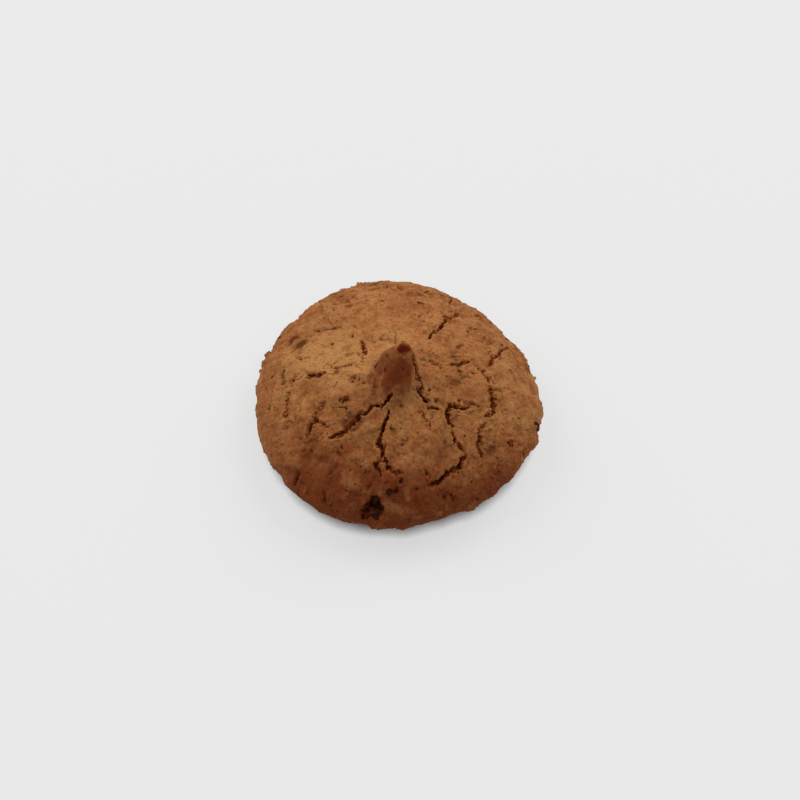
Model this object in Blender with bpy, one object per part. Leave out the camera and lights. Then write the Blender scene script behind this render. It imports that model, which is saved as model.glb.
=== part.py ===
"""A piped nut macaroon, baked: one cracked, domed biscuit with a small pulled-up peak.

One node, "macaron". Lengths in the tables are millimetres; the mesh is in metres.
The origin is the middle of the flat underside, +Z is up, and the side with the
longest cracks faces -Y.

The crust is one formula over a flat disc: a point of the disc is an azimuth and a
reach, the way over the crust from the tip of the peak. crust_point() turns it into
a point in space, sunk_depth() says how far a crack or a hollow sinks there, and the
disc is cut into triangles that follow both lips and the bottom of every crack.
"""

import math
from dataclasses import dataclass

import bmesh
import bpy
import numpy as np
from mathutils import Vector
from mathutils.geometry import delaunay_2d_cdt

NODE = "macaron"
MM = 0.001
SEED = 46

# The dome, millimetres. The half width is along X and the half depth along Y.
HALF_WIDTH = 23.0
DEPTH_SHARE = 1.03
DOME_HEIGHT = 17.5
WIDEST_HEIGHT = 5.75
BASE_SHARE = 0.80
DOME_POWER = 1.5
TUCK_POWER = 1.6
TOP_SHIFT = (0.5, -4.0)

# How the plan strays from an ellipse: (order, cosine share, sine share).
PLAN_WAVES = (
    (2, 0.012, -0.010),
    (3, 0.015, -0.011),
    (4, 0.004, 0.004),
    (5, 0.000, 0.005),
)

# The peak that the piping nozzle pulled up.
PEAK_HEIGHT = 7.6
PEAK_FOOT = 3.8
PEAK_TIP = 0.9
PEAK_FLARE = 0.16
# The peak's formula fades out between these two radii of the dome.
PEAK_FADE = (12.0, 5.0)
PEAK_LEAN = (1.3, 1.1)

# Soft lumps of the crust: (how many, radius, height either way).
LUMP_SIZES = ((60, 4.6, 0.5), (420, 1.7, 0.3))
# The peak bulges towards the left: (azimuth in degrees, reach, radius, height).
SHOULDERS = ((178.0, 3.7, 1.9, 0.95), (-125.0, 5.5, 1.8, 0.35))
# On the peak the seeded lumps shrink by this share, over these reaches.
PEAK_CALM = 0.6
PEAK_CALM_REACH = (9.0, 5.0)
# Relief dies out over this reach above the underside, so the base stays flat.
QUIET_RIM = 2.5


@dataclass(frozen=True)
class Crack:
    """One crack of the crust, from end to end."""

    stops: tuple
    width: float
    depth: float


@dataclass(frozen=True)
class Spot:
    """A small round hollow, or with a sink below zero a crumb that stands out."""

    azimuth: float
    reach: float
    radius: float
    sink: float

    def middle(self):
        """The spot's place on the disc."""
        turn = math.radians(self.azimuth)
        return self.reach * np.array([math.cos(turn), math.sin(turn)])


# Cracks as (azimuth in degrees, reach in millimetres) stops; azimuth -90 is the front.
CRACKS = (
    # The long crack from the foot of the peak down the front, and its side arms.
    Crack(((-104, 7.7), (-111, 9.2), (-115, 10.6)), 1.1, 1.2),
    Crack(
        (
            (-103, 10.7), (-102, 11.9), (-105, 13.1), (-105, 14.3), (-104, 15.5), (-106, 16.4),
            (-100, 17.6), (-101, 19.0),
        ),
        1.0,
        1.5,
    ),
    Crack(((-98, 19.2), (-94, 20.3), (-91, 21.0), (-87, 21.0)), 0.9, 1.1),
    Crack(((-101, 19.1), (-104, 19.9), (-100, 20.8), (-99, 21.5)), 0.8, 1.0),
    Crack(((-103, 23.4), (-104, 24.4)), 0.6, 0.6),
    Crack(
        (
            (-118, 10.2), (-130, 11.0), (-130, 12.7), (-135, 13.8), (-133, 15.3), (-133, 16.4),
            (-134, 17.8), (-138, 19.4),
        ),
        1.0,
        1.2,
    ),
    # The sickle on the right of the front, widest at its foot.
    Crack(
        (
            (-21, 16.9), (-25, 15.8), (-27, 14.3), (-36, 14.7), (-40, 15.5), (-42, 16.8),
        ),
        0.9,
        1.1,
    ),
    Crack(((-44, 17.3), (-48, 18.7), (-48, 19.8), (-47, 21.2)), 0.7, 1.0),
    Crack(
        (
            (-48, 21.9), (-51, 22.0), (-54, 22.7), (-58, 22.7), (-61, 22.8), (-65, 23.1),
            (-67, 23.7), (-73, 23.6),
        ),
        0.9,
        1.6,
    ),
    Crack(((-26, 20.6), (-32, 20.6), (-35, 21.4), (-39, 22.0), (-42, 23.9)), 0.8, 0.9),
    # The bracket on the right flank.
    Crack(
        (
            (-3, 21.5), (-3, 19.8), (-10, 20.4), (-15, 21.0), (-18, 21.1), (-22, 20.0),
        ),
        1.0,
        1.1,
    ),
    Crack(((-18, 17.2), (-18, 18.3)), 0.8, 0.8),
    # Round the foot of the peak.
    Crack(((-20, 2.7), (-25, 4.9), (-28, 6.9), (-28, 8.4), (-40, 8.9), (-40, 10.7)), 0.9, 1.0),
    Crack(((-45, 11.6), (-40, 12.5), (-36, 13.3)), 0.7, 0.7),
    Crack(((-56, 11.9), (-57, 13.3)), 0.6, 0.6),
    # Left flank.
    Crack(((-158, 18.9), (-153, 19.4), (-151, 21.0), (-147, 22.3)), 0.8, 1.0),
    Crack(((-153, 19.4), (-149, 18.9), (-143, 18.3)), 0.6, 0.6),
    Crack(((171, 20.3), (174, 19.2), (174, 18.1), (172, 16.9)), 0.9, 0.9),
    Crack(((165, 16.6), (167, 15.6), (165, 14.2), (160, 12.3)), 0.5, 0.5),
    Crack(((161, 23.0), (163, 21.5), (161, 20.5)), 0.6, 0.6),
    Crack(((-177, 23.0), (-171, 23.6), (-164, 24.6)), 0.5, 0.6),
    Crack(((-175, 26.6), (-171, 27.6)), 0.6, 0.7),
    Crack(((173, 21.5), (178, 22.7)), 0.5, 0.5),
    Crack(((-138, 27.4), (-136, 28.4), (-135, 29.5)), 0.7, 0.7),
    Crack(((-123, 27.1), (-120, 28.6)), 0.6, 0.7),
    # Behind the peak and down the right.
    Crack(((56, 14.6), (57, 15.7), (55, 17.6), (56, 19.5), (57, 21.1), (61, 22.1)), 0.9, 1.1),
    Crack(((57, 21.1), (55, 22.4), (54, 24.7)), 0.7, 0.7),
    Crack(((35, 11.2), (24, 11.6), (14, 12.0)), 0.8, 0.8),
    Crack(((18, 13.2), (17, 15.1), (18, 17.0)), 0.8, 0.8),
    Crack(((12, 18.1), (5, 19.1), (0, 19.6)), 0.5, 0.5),
    Crack(((13, 20.3), (19, 22.4), (22, 24.1), (24, 27.1)), 0.8, 0.8),
    Crack(((129, 14.0), (133, 12.6), (142, 11.2)), 0.9, 1.0),
    Crack(((-28, 25.8), (-26, 26.3), (-25, 27.0)), 0.8, 0.7),
)

# The far side, out of the way of the long cracks, carries a few short ones by rule.
FAR_CRACKS = 9
FAR_AZIMUTH = (38.0, 158.0)
FAR_REACH = (25.5, 31.0)
FAR_TURN = 7.0
FAR_LENGTH = (1.6, 3.6)
FAR_WIDTH = 0.6
FAR_DEPTH = 0.7

SPOTS = (
    # The burst hollow low on the front in three lobes, and two seats of dark nut pieces.
    Spot(-100, 26.6, 1.9, 1.4),
    Spot(-97, 27.8, 1.2, 1.1),
    Spot(-103, 28.7, 1.3, 1.0),
    Spot(-91, 24.1, 0.8, 0.6),
    Spot(-88, 22.3, 0.7, 0.5),
    # A dent left of the peak.
    Spot(-178, 11.4, 1.2, 0.45),
    # Bubble pits.
    Spot(116, 24.7, 0.6, 0.5),
    Spot(149, 24.7, 0.5, 0.4),
    Spot(142, 22.6, 0.5, 0.4),
    Spot(130, 16.1, 0.5, 0.4),
    Spot(109, 12.7, 0.5, 0.4),
    Spot(109, 15.3, 0.5, 0.4),
    Spot(146, 12.1, 0.5, 0.4),
    Spot(77, 23.2, 0.6, 0.4),
    Spot(33, 17.8, 0.5, 0.4),
    Spot(-20, 15.3, 0.6, 0.5),
    Spot(-41, 10.6, 0.6, 0.5),
    Spot(-3, 24.2, 0.6, 0.4),
    Spot(-68, 26.7, 0.6, 0.5),
    Spot(-64, 27.4, 0.5, 0.4),
    Spot(-127, 20.4, 0.5, 0.4),
    Spot(-143, 24.0, 0.5, 0.4),
    Spot(177, 24.4, 0.6, 0.5),
    # Crumbs that stand out: one on the left rim and a nut piece on the right.
    Spot(160, 30.5, 0.7, -0.7),
    Spot(-14, 29.8, 0.7, -0.3),
)

# More crumbs, scattered round the flank by rule.
LOOSE_CRUMBS = 26
LOOSE_REACH = (19.0, 35.0)
LOOSE_RADIUS = (0.45, 0.85)
LOOSE_RISE = (0.2, 0.45)

# How ragged the cracks run, how bluntly they end, and how finely the disc is cut.
# Points of the disc nearer to each other than MERGE become one.
CRACK_STEP = 0.85
CRACK_BLUNT = 0.35
CRACK_UNEVEN = (0.75, 1.2)
SPOT_EDGE = 1.6
CLEARANCE = 0.42
MERGE = 0.05
CRACK_STRAY = 0.18
CRUST_STEP = 1.25
PEAK_STEP = 0.85
PEAK_REACH = 9.0
# Rows of points stray by these shares of a step, round and outwards.
ROUND_STRAY = 0.18
OUT_STRAY = 0.16
# The last row stays this share of a step inside the rim.
RIM_GAP = 0.6
# The flat base is cut at this spacing, over this share of its radius less a margin.
BASE_STEP = 4.0
BASE_INSET = 0.93
BASE_MARGIN = 1.5
# No point of the crust but its rim comes lower than this.
LOWEST = 0.05
# Spots smaller than this radius get the fewer of these two numbers of corners.
SMALL_SPOT = 1.0
SPOT_CORNERS = (6, 9)
# A spot's floor, or its top, has this share of its radius.
SPOT_FLOOR = 0.36
BAKED_BROWN = (0.25, 0.12, 0.05, 1.0)
BAKED_ROUGHNESS = 0.85
# Rows of points lie this share of a step apart, as in a field of equal triangles.
ROW_SHARE = 0.87
# Steps for measuring the crust's slope: along the reach, and round in radians.
SLOPE_STEP = 0.02
SLOPE_TURN = 0.002
SHARP_ANGLE = math.radians(38.0)


def smooth_step(low, high, value):
    """0 below low, 1 above high, with an even S between."""
    t = np.clip((np.asarray(value, float) - low) / (high - low), 0.0, 1.0)
    return t * t * (3.0 - 2.0 * t)


def peak_rise(radius):
    """Height of the peak above the dome: a cone with a round tip and a flared foot."""
    down = (np.sqrt(radius**2 + PEAK_TIP**2) - PEAK_TIP) / PEAK_FOOT
    cone = 1.0 - down
    top = 0.5 * (1.0 + math.sqrt(1.0 + PEAK_FLARE**2))
    foot = 0.5 * (cone + np.sqrt(cone**2 + PEAK_FLARE**2))
    return PEAK_HEIGHT * foot / top * smooth_step(*PEAK_FADE, radius)


def profile():
    """The biscuit's half section: reach, radius and height, from the tip to the base."""
    turn = np.linspace(0.0, 1.0, 700) * math.pi / 2
    crown_radius = HALF_WIDTH * np.sin(turn) ** (2.0 / DOME_POWER)
    rise = (DOME_HEIGHT - WIDEST_HEIGHT) * np.cos(turn) ** (2.0 / DOME_POWER)
    crown_height = WIDEST_HEIGHT + rise + peak_rise(crown_radius)
    tuck = (1.0 - BASE_SHARE) * np.cos(turn) ** (2.0 / TUCK_POWER)
    tuck_radius = HALF_WIDTH * (BASE_SHARE + tuck)
    tuck_height = WIDEST_HEIGHT * (1.0 - np.sin(turn) ** (2.0 / TUCK_POWER))
    radius = np.concatenate([crown_radius, tuck_radius[1:]])
    height = np.concatenate([crown_height, tuck_height[1:]])
    reach = np.concatenate(
        [[0.0], np.cumsum(np.hypot(np.diff(radius), np.diff(height)))]
    )
    return reach, radius, height


REACH, RADIUS, HEIGHT = profile()
RIM = float(REACH[-1])


def smooth_point(azimuth, reach):
    """The crust before any relief, as an array of points (azimuth in radians)."""
    radius = np.interp(reach, REACH, RADIUS)
    height = np.interp(reach, REACH, HEIGHT)
    plan = np.ones_like(radius)
    for order, cosine, sine in PLAN_WAVES:
        plan += cosine * np.cos(order * azimuth) + sine * np.sin(order * azimuth)
    level = np.clip(height / DOME_HEIGHT, 0.0, 1.0)
    pull = np.clip(peak_rise(radius) / PEAK_HEIGHT, 0.0, 1.0) ** 1.5
    x = radius * plan * np.cos(azimuth) + TOP_SHIFT[0] * level + PEAK_LEAN[0] * pull
    y = radius * plan * np.sin(azimuth) * DEPTH_SHARE + TOP_SHIFT[1] * level
    return np.stack([x, y + PEAK_LEAN[1] * pull, height], axis=-1)


def ragged(stops, random):
    """A crack's middle line on the disc: its stops joined by short strayed steps."""
    turned = [(math.radians(azimuth), reach) for azimuth, reach in stops]
    corners = np.array([(r * math.cos(a), r * math.sin(a)) for a, r in turned])
    line = [corners[0]]
    for start, end in zip(corners[:-1], corners[1:]):
        count = max(1, round(float(np.linalg.norm(end - start)) / CRACK_STEP))
        along = (end - start) / np.linalg.norm(end - start)
        across = np.array([-along[1], along[0]])
        for k in range(1, count):
            stray = random.uniform(-CRACK_STRAY, CRACK_STRAY)
            line.append(start + (end - start) * k / count + across * stray)
        line.append(end)
    return np.array(line)


def crack_lines():
    """Every crack as (line, half width at each point, depth at each point)."""
    random = np.random.default_rng(SEED)
    cracks = list(CRACKS)
    for k in range(FAR_CRACKS):
        low, high = FAR_AZIMUTH
        azimuth = low + (high - low) * (k + random.uniform(0.2, 0.8)) / FAR_CRACKS
        reach = random.uniform(*FAR_REACH)
        turn = random.uniform(-FAR_TURN, FAR_TURN)
        length = random.uniform(*FAR_LENGTH)
        stops = ((azimuth, reach), (azimuth + turn, reach + length))
        cracks.append(Crack(stops, FAR_WIDTH, FAR_DEPTH))
    lines = []
    for crack in cracks:
        line = ragged(crack.stops, random)
        share = np.linspace(0.0, 1.0, len(line))
        taper = np.sin(math.pi * np.clip(share, 0.0, 1.0)) ** CRACK_BLUNT
        uneven = random.uniform(*CRACK_UNEVEN, len(line))
        half = 0.5 * crack.width * taper * uneven
        lines.append((line, half, crack.depth * taper))
    return lines


def all_spots():
    """The named spots and the crumbs scattered by rule."""
    random = np.random.default_rng(SEED + 3)
    spots = list(SPOTS)
    for k in range(LOOSE_CRUMBS):
        azimuth = 360.0 * (k + random.uniform(0.1, 0.9)) / LOOSE_CRUMBS - 180.0
        reach = random.uniform(*LOOSE_REACH)
        radius = random.uniform(*LOOSE_RADIUS)
        spots.append(Spot(azimuth, reach, radius, -random.uniform(*LOOSE_RISE)))
    return spots


def lump_table():
    """Seeded lumps on the disc: x, y, radius and height of each."""
    random = np.random.default_rng(SEED + 1)
    rows = []
    for count, radius, height in LUMP_SIZES:
        for _ in range(count):
            azimuth = random.uniform(-math.pi, math.pi)
            reach = RIM * math.sqrt(random.uniform(0.01, 1.0))
            size = radius * random.uniform(0.75, 1.25)
            rise = height * random.uniform(-1.0, 1.0)
            rows.append(
                (reach * math.cos(azimuth), reach * math.sin(azimuth), size, rise)
            )
    return np.array(rows)


def shoulder_table():
    """The peak's bulges on the disc: x, y, radius and height of each."""
    rows = []
    for azimuth, reach, size, rise in SHOULDERS:
        turn = math.radians(azimuth)
        rows.append((reach * math.cos(turn), reach * math.sin(turn), size, rise))
    return np.array(rows)


def lump_rise(x, y, lumps):
    """Height of the lumps at points of the disc."""
    rise = np.zeros_like(x)
    for cx, cy, size, height in lumps:
        rise += height * np.exp(-((x - cx) ** 2 + (y - cy) ** 2) / size**2)
    return rise


def sunk_depth(x, y, lines, spots):
    """How far cracks and spots sink at points of the disc: cracks are V-shaped."""
    sunk = np.zeros_like(x)
    for line, half, depth in lines:
        for k in range(len(line) - 1):
            step = line[k + 1] - line[k]
            dx, dy = x - line[k][0], y - line[k][1]
            t = np.clip((dx * step[0] + dy * step[1]) / (step @ step), 0.0, 1.0)
            away = np.hypot(dx - t * step[0], dy - t * step[1])
            wide = np.maximum(half[k] + (half[k + 1] - half[k]) * t, 0.02)
            deep = depth[k] + (depth[k + 1] - depth[k]) * t
            sunk = np.maximum(sunk, deep * (1.0 - away / wide))
    sunk = np.maximum(sunk, 0.0)
    for spot in spots:
        cx, cy = spot.middle()
        away = np.hypot(x - cx, y - cy)
        share = np.clip(SPOT_EDGE * (1.0 - away / spot.radius), 0.0, 1.0)
        if spot.sink > 0.0:
            sunk = np.maximum(sunk, spot.sink * share)
        else:
            sunk = sunk + spot.sink * share
    return sunk


def crust_point(x, y, lines, spots, lumps):
    """Points of the finished crust, in millimetres, for points of the disc."""
    azimuth, reach = np.arctan2(y, x), np.hypot(x, y)
    middle = smooth_point(azimuth, reach)
    inner = np.maximum(reach - SLOPE_STEP, 0.0)
    outer = np.minimum(reach + SLOPE_STEP, RIM)
    along = smooth_point(azimuth, outer) - smooth_point(azimuth, inner)
    around = smooth_point(azimuth + SLOPE_TURN, reach)
    around = around - smooth_point(azimuth - SLOPE_TURN, reach)
    normal = np.cross(along, around)
    length = np.linalg.norm(normal, axis=-1, keepdims=True)
    up = np.array([0.0, 0.0, 1.0])
    normal = np.where(length > 1e-9, normal / np.maximum(length, 1e-12), up)
    quiet = smooth_step(RIM, RIM - QUIET_RIM, reach)
    peak = 1.0 - PEAK_CALM * smooth_step(*PEAK_CALM_REACH, reach)
    relief = peak * lump_rise(x, y, lumps) + lump_rise(x, y, shoulder_table())
    relief = quiet * (relief - sunk_depth(x, y, lines, spots))
    return middle + normal * relief[..., None]


def disc_points(lines, spots, random):
    """Points that fill the disc evenly, kept clear of the cracks and spots."""
    points = [(0.0, 0.0)]
    reach = 0.0
    while True:
        step = PEAK_STEP if reach < PEAK_REACH else CRUST_STEP
        reach += step * ROW_SHARE
        if reach > RIM - RIM_GAP * CRUST_STEP:
            break
        radius = float(np.interp(reach, REACH, RADIUS))
        count = max(5, round(2 * math.pi * radius / step))
        turn = random.uniform(0.0, 1.0)
        for k in range(count):
            stray = random.uniform(-ROUND_STRAY, ROUND_STRAY)
            azimuth = 2 * math.pi * (k + turn + stray) / count
            strayed = reach + random.uniform(-OUT_STRAY, OUT_STRAY) * step
            points.append((strayed * math.cos(azimuth), strayed * math.sin(azimuth)))
    points = np.array(points)
    keep = np.ones(len(points), bool)
    for line, half, _depth in lines:
        for k in range(len(line) - 1):
            step = line[k + 1] - line[k]
            offset = points - line[k]
            t = np.clip(offset @ step / (step @ step), 0.0, 1.0)
            away = np.linalg.norm(offset - t[:, None] * step, axis=1)
            keep &= away > max(half[k], half[k + 1]) + CLEARANCE
    for spot in spots:
        away = np.linalg.norm(points - spot.middle(), axis=1)
        keep &= away > spot.radius + CLEARANCE
    return points[keep]


def crack_outline(line, half):
    """Points and edges of one crack: the middle line and a lip on either side."""
    count = len(line)
    along = np.gradient(line, axis=0)
    along /= np.linalg.norm(along, axis=1, keepdims=True)
    across = np.stack([-along[:, 1], along[:, 0]], axis=1) * half[:, None]
    inner = range(1, count - 1)
    points = list(line) + [line[k] + across[k] for k in inner]
    points += [line[k] - across[k] for k in inner]
    edges = [(k, k + 1) for k in range(count - 1)]
    lips = count - 2
    for side in range(2 if lips else 0):
        first = count + side * lips
        chain = [0, *range(first, first + lips), count - 1]
        edges += list(zip(chain[:-1], chain[1:]))
    return points, edges


def spot_outline(spot):
    """Points and edges of one spot: its floor or top, and its edge, each a ring."""
    cx, cy = spot.middle()
    count = SPOT_CORNERS[int(spot.radius >= SMALL_SPOT)]
    points, edges = [], []
    for share in (SPOT_FLOOR, 1.0):
        first = len(points)
        for k in range(count):
            turn = 2 * math.pi * (k + 0.5 * share) / count
            points.append(
                (
                    cx + share * spot.radius * math.cos(turn),
                    cy + share * spot.radius * math.sin(turn),
                )
            )
            edges.append((first + k, first + (k + 1) % count))
    return points, edges


def cut_disc(lines, spots):
    """The disc cut into triangles: points, triangles and how many rim points."""
    random = np.random.default_rng(SEED + 2)
    count = round(2 * math.pi * float(RADIUS[-1]) / CRUST_STEP)
    turns = 2 * math.pi * np.arange(count) / count
    points = [(RIM * math.cos(turn), RIM * math.sin(turn)) for turn in turns]
    edges = [(k, (k + 1) % count) for k in range(count)]
    points += [tuple(point) for point in disc_points(lines, spots, random)]
    outlines = [crack_outline(line, half) for line, half, _depth in lines]
    outlines += [spot_outline(spot) for spot in spots]
    for more_points, more_edges in outlines:
        first = len(points)
        points += [tuple(point) for point in more_points]
        edges += [(first + a, first + b) for a, b in more_edges]
    flat = [Vector((float(x), float(y))) for x, y in points]
    result = delaunay_2d_cdt(flat, edges, [], 0, MERGE)
    return np.array([tuple(v) for v in result[0]]), [tuple(f) for f in result[2]]


def underside(ring):
    """The flat base: more points inside the ring of rim points, and its triangles."""
    count = len(ring)
    edges = [(k, (k + 1) % count) for k in range(count)]
    points = [Vector((float(x), float(y))) for x, y in ring]
    reach = HALF_WIDTH * BASE_SHARE * BASE_INSET
    steps = int(reach / BASE_STEP)
    for row in range(-steps, steps + 1):
        for column in range(-steps, steps + 1):
            x = BASE_STEP * (column + 0.5 * (row % 2))
            y = BASE_STEP * row * ROW_SHARE
            if math.hypot(x, y) < reach - BASE_MARGIN:
                points.append(Vector((x, y)))
    result = delaunay_2d_cdt(points, edges, [], 1, 1e-4)
    return np.array([tuple(v) for v in result[0]]), [tuple(f) for f in result[2]]


def build_mesh():
    """The whole biscuit as one closed mesh, its box centred on the origin in plan."""
    lines, spots, lumps = crack_lines(), all_spots(), lump_table()
    disc, top = cut_disc(lines, spots)
    crust = crust_point(disc[:, 0], disc[:, 1], lines, spots, lumps)
    on_rim = np.hypot(disc[:, 0], disc[:, 1]) > RIM - 1e-3
    crust[on_rim, 2] = 0.0
    crust[~on_rim, 2] = np.maximum(crust[~on_rim, 2], LOWEST)
    crust[:, :2] -= 0.5 * (crust[:, :2].min(axis=0) + crust[:, :2].max(axis=0))
    rim = np.nonzero(on_rim)[0]
    rim = rim[np.argsort(np.arctan2(disc[rim, 1], disc[rim, 0]))]
    flat, bottom = underside(crust[rim, :2])
    mesh = bpy.data.meshes.new(NODE)
    work = bmesh.new()
    verts = [work.verts.new(Vector(point) * MM) for point in crust]
    for face in top:
        work.faces.new([verts[k] for k in face])
    low = [verts[k] for k in rim]
    low += [work.verts.new((x * MM, y * MM, 0.0)) for x, y in flat[len(rim):]]
    for face in bottom:
        work.faces.new([low[k] for k in reversed(face)])
    bmesh.ops.triangulate(work, faces=work.faces[:])
    bmesh.ops.recalc_face_normals(work, faces=work.faces[:])
    work.to_mesh(mesh)
    work.free()
    mesh.shade_smooth()
    mesh.set_sharp_from_angle(angle=SHARP_ANGLE)
    return mesh


def crust_material():
    """Baked nut crust: brown, dull and rough all over."""
    material = bpy.data.materials.new("baked_crust")
    material.use_nodes = True
    shader = material.node_tree.nodes["Principled BSDF"]
    shader.inputs["Base Color"].default_value = BAKED_BROWN
    shader.inputs["Roughness"].default_value = BAKED_ROUGHNESS
    return material


def main():
    """Clear the scene and build the one node."""
    for old in list(bpy.data.objects):
        bpy.data.objects.remove(old, do_unlink=True)
    biscuit = bpy.data.objects.new(NODE, build_mesh())
    biscuit.data.materials.append(crust_material())
    bpy.context.scene.collection.objects.link(biscuit)


if __name__ == "__main__":
    main()
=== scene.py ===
"""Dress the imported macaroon: its baked crust, loose crumbs, nut skin, nut pieces and studio.

Lengths in the classes are millimetres; new_piece() turns them into metres. A point of
the crust is named by its place on a flat disc: an azimuth round the peak, and a reach,
the way over the crust from the tip of the peak.
"""

import logging
import math
from dataclasses import dataclass, field
from enum import Enum, IntEnum

import bpy
import numpy as np
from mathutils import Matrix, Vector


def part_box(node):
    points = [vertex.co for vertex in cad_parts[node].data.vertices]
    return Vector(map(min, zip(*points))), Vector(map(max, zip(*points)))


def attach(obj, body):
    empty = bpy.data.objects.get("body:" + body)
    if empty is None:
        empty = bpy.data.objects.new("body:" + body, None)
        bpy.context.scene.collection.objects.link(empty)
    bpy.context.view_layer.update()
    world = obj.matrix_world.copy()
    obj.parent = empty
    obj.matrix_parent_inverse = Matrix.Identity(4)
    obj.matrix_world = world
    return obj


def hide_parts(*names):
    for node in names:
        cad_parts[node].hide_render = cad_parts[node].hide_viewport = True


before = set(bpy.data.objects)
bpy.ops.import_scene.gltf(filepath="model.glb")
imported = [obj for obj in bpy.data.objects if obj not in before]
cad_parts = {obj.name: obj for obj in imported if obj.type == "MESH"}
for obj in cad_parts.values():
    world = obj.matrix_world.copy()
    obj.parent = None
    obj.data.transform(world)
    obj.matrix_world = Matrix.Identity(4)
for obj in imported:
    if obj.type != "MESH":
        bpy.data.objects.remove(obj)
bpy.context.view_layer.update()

NODE = "macaron"
BODY = "root"
MM = 0.001
# The seeds of the draws; the solid uses the same ones for its lumps, cracks and crumbs.
SEED = 46
LUMP_SEED, CRUMB_SEED, TORN_SEED, HAIR_SEED = SEED + 1, SEED + 3, SEED + 5, SEED + 6
# Keeps a division by a length of nothing at nothing.
TINY = 1e-9
# The mark "low" of ground that is neither a pit nor a bump.
LEVEL = 0.5
LOG = logging.getLogger("macaroon")

Array = np.ndarray
Line = tuple[Array, Array, Array]


def smooth_step(low: float, high: float, value: Array) -> Array:
    """Give 0 below low and 1 above high, with an even S between.

    Args:
        low: Where the step starts.
        high: Where it ends; it may be below low, which turns the step round.
        value: The numbers to step.

    Returns:
        The stepped numbers, 0 to 1.
    """
    share = np.clip((np.asarray(value, float) - low) / (high - low), 0.0, 1.0)
    return share * share * (3.0 - 2.0 * share)


def hex_linear(code: str) -> tuple[float, float, float, float]:
    """Turn an sRGB hex colour into the linear colour that a shader takes.

    Args:
        code: The colour as "#RRGGBB".

    Returns:
        Linear red, green, blue and an alpha of 1.
    """
    parts = [int(code[k:k + 2], 16) / 255.0 for k in (1, 3, 5)]
    linear = [p / 12.92 if p <= 0.04045 else ((p + 0.055) / 1.055) ** 2.4 for p in parts]
    return linear[0], linear[1], linear[2], 1.0


def add_node(
    tree: bpy.types.NodeTree,
    kind: str,
    settings: dict[str, object] | None = None,
    inputs: dict[str | int, object] | None = None,
) -> bpy.types.Node:
    """Add one node, set its properties and inputs, and link what is a socket.

    Args:
        tree: The node tree to add to.
        kind: The node's Blender type.
        settings: Properties of the node by name.
        inputs: Input sockets by name or place; a socket value is linked, others are set.

    Returns:
        The new node.
    """
    node = tree.nodes.new(kind)
    for name, value in (settings or {}).items():
        setattr(node, name, value)
    for name, value in (inputs or {}).items():
        if isinstance(value, bpy.types.NodeSocket):
            tree.links.new(value, node.inputs[name])
        else:
            node.inputs[name].default_value = value
    return node


def new_piece(
    name: str,
    points: Array,
    faces: list[Array],
    material: bpy.types.Material,
    smooth: bool = True,
    marks: dict[str, Array] | None = None,
) -> bpy.types.Object:
    """Make a mesh object from whole arrays.

    Args:
        name: The object's name.
        points: Its points in millimetres, one row each.
        faces: Arrays of faces, each array with one number of corners.
        material: Its only material.
        smooth: Whether the faces are shaded smooth.
        marks: Numbers for each point, kept as attributes by name.

    Returns:
        The object, linked to the scene at the origin.
    """
    corners = np.concatenate([block.ravel() for block in faces]).astype(np.int32)
    sizes = np.concatenate([np.full(len(block), block.shape[1]) for block in faces])
    starts = np.concatenate([[0], np.cumsum(sizes)[:-1]]).astype(np.int32)
    mesh = bpy.data.meshes.new(name)
    mesh.vertices.add(len(points))
    mesh.vertices.foreach_set("co", (points * MM).astype(np.float32).ravel())
    mesh.loops.add(len(corners))
    mesh.loops.foreach_set("vertex_index", corners)
    mesh.polygons.add(len(sizes))
    mesh.polygons.foreach_set("loop_start", starts)
    mesh.polygons.foreach_set("use_smooth", np.full(len(sizes), smooth))
    mesh.update(calc_edges=True)
    mesh.validate()
    for label, values in (marks or {}).items():
        attribute = mesh.attributes.new(label, "FLOAT", "POINT")
        attribute.data.foreach_set("value", values.astype(np.float32).ravel())
    mesh.materials.append(material)
    piece = bpy.data.objects.new(name, mesh)
    bpy.context.scene.collection.objects.link(piece)
    return piece


# Large odd numbers that scatter the bits of a cell's three numbers, the seed and the channel.
CELL_MIX = (0x8DA6B343, 0xD8163841, 0xCB1AB31F)
SEED_MIX, CHANNEL_MIX = 0x9E3779B1, 0x85EBCA6B
# Shifts and factors that mix them further, and the largest number they can give.
BIT_MIX = ((15, 0x2C1B3C6D), (12, 0x297A2D39), (15, 1))
MOST = 0xFFFFFFFF


class Field(IntEnum):
    """Unrelated random fields; a kind in several layers also takes the next numbers."""

    SOFT = 10
    JAG_ACROSS = 40
    JAG_BACK = 45
    TORN_FLOOR = 62
    SCORCH_EDGE = 63
    RIM_WANDER = 64
    SCORCH_FINE = 65
    BROWNING = 70
    BASE_PITS = 80
    GRAINS = 100


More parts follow.
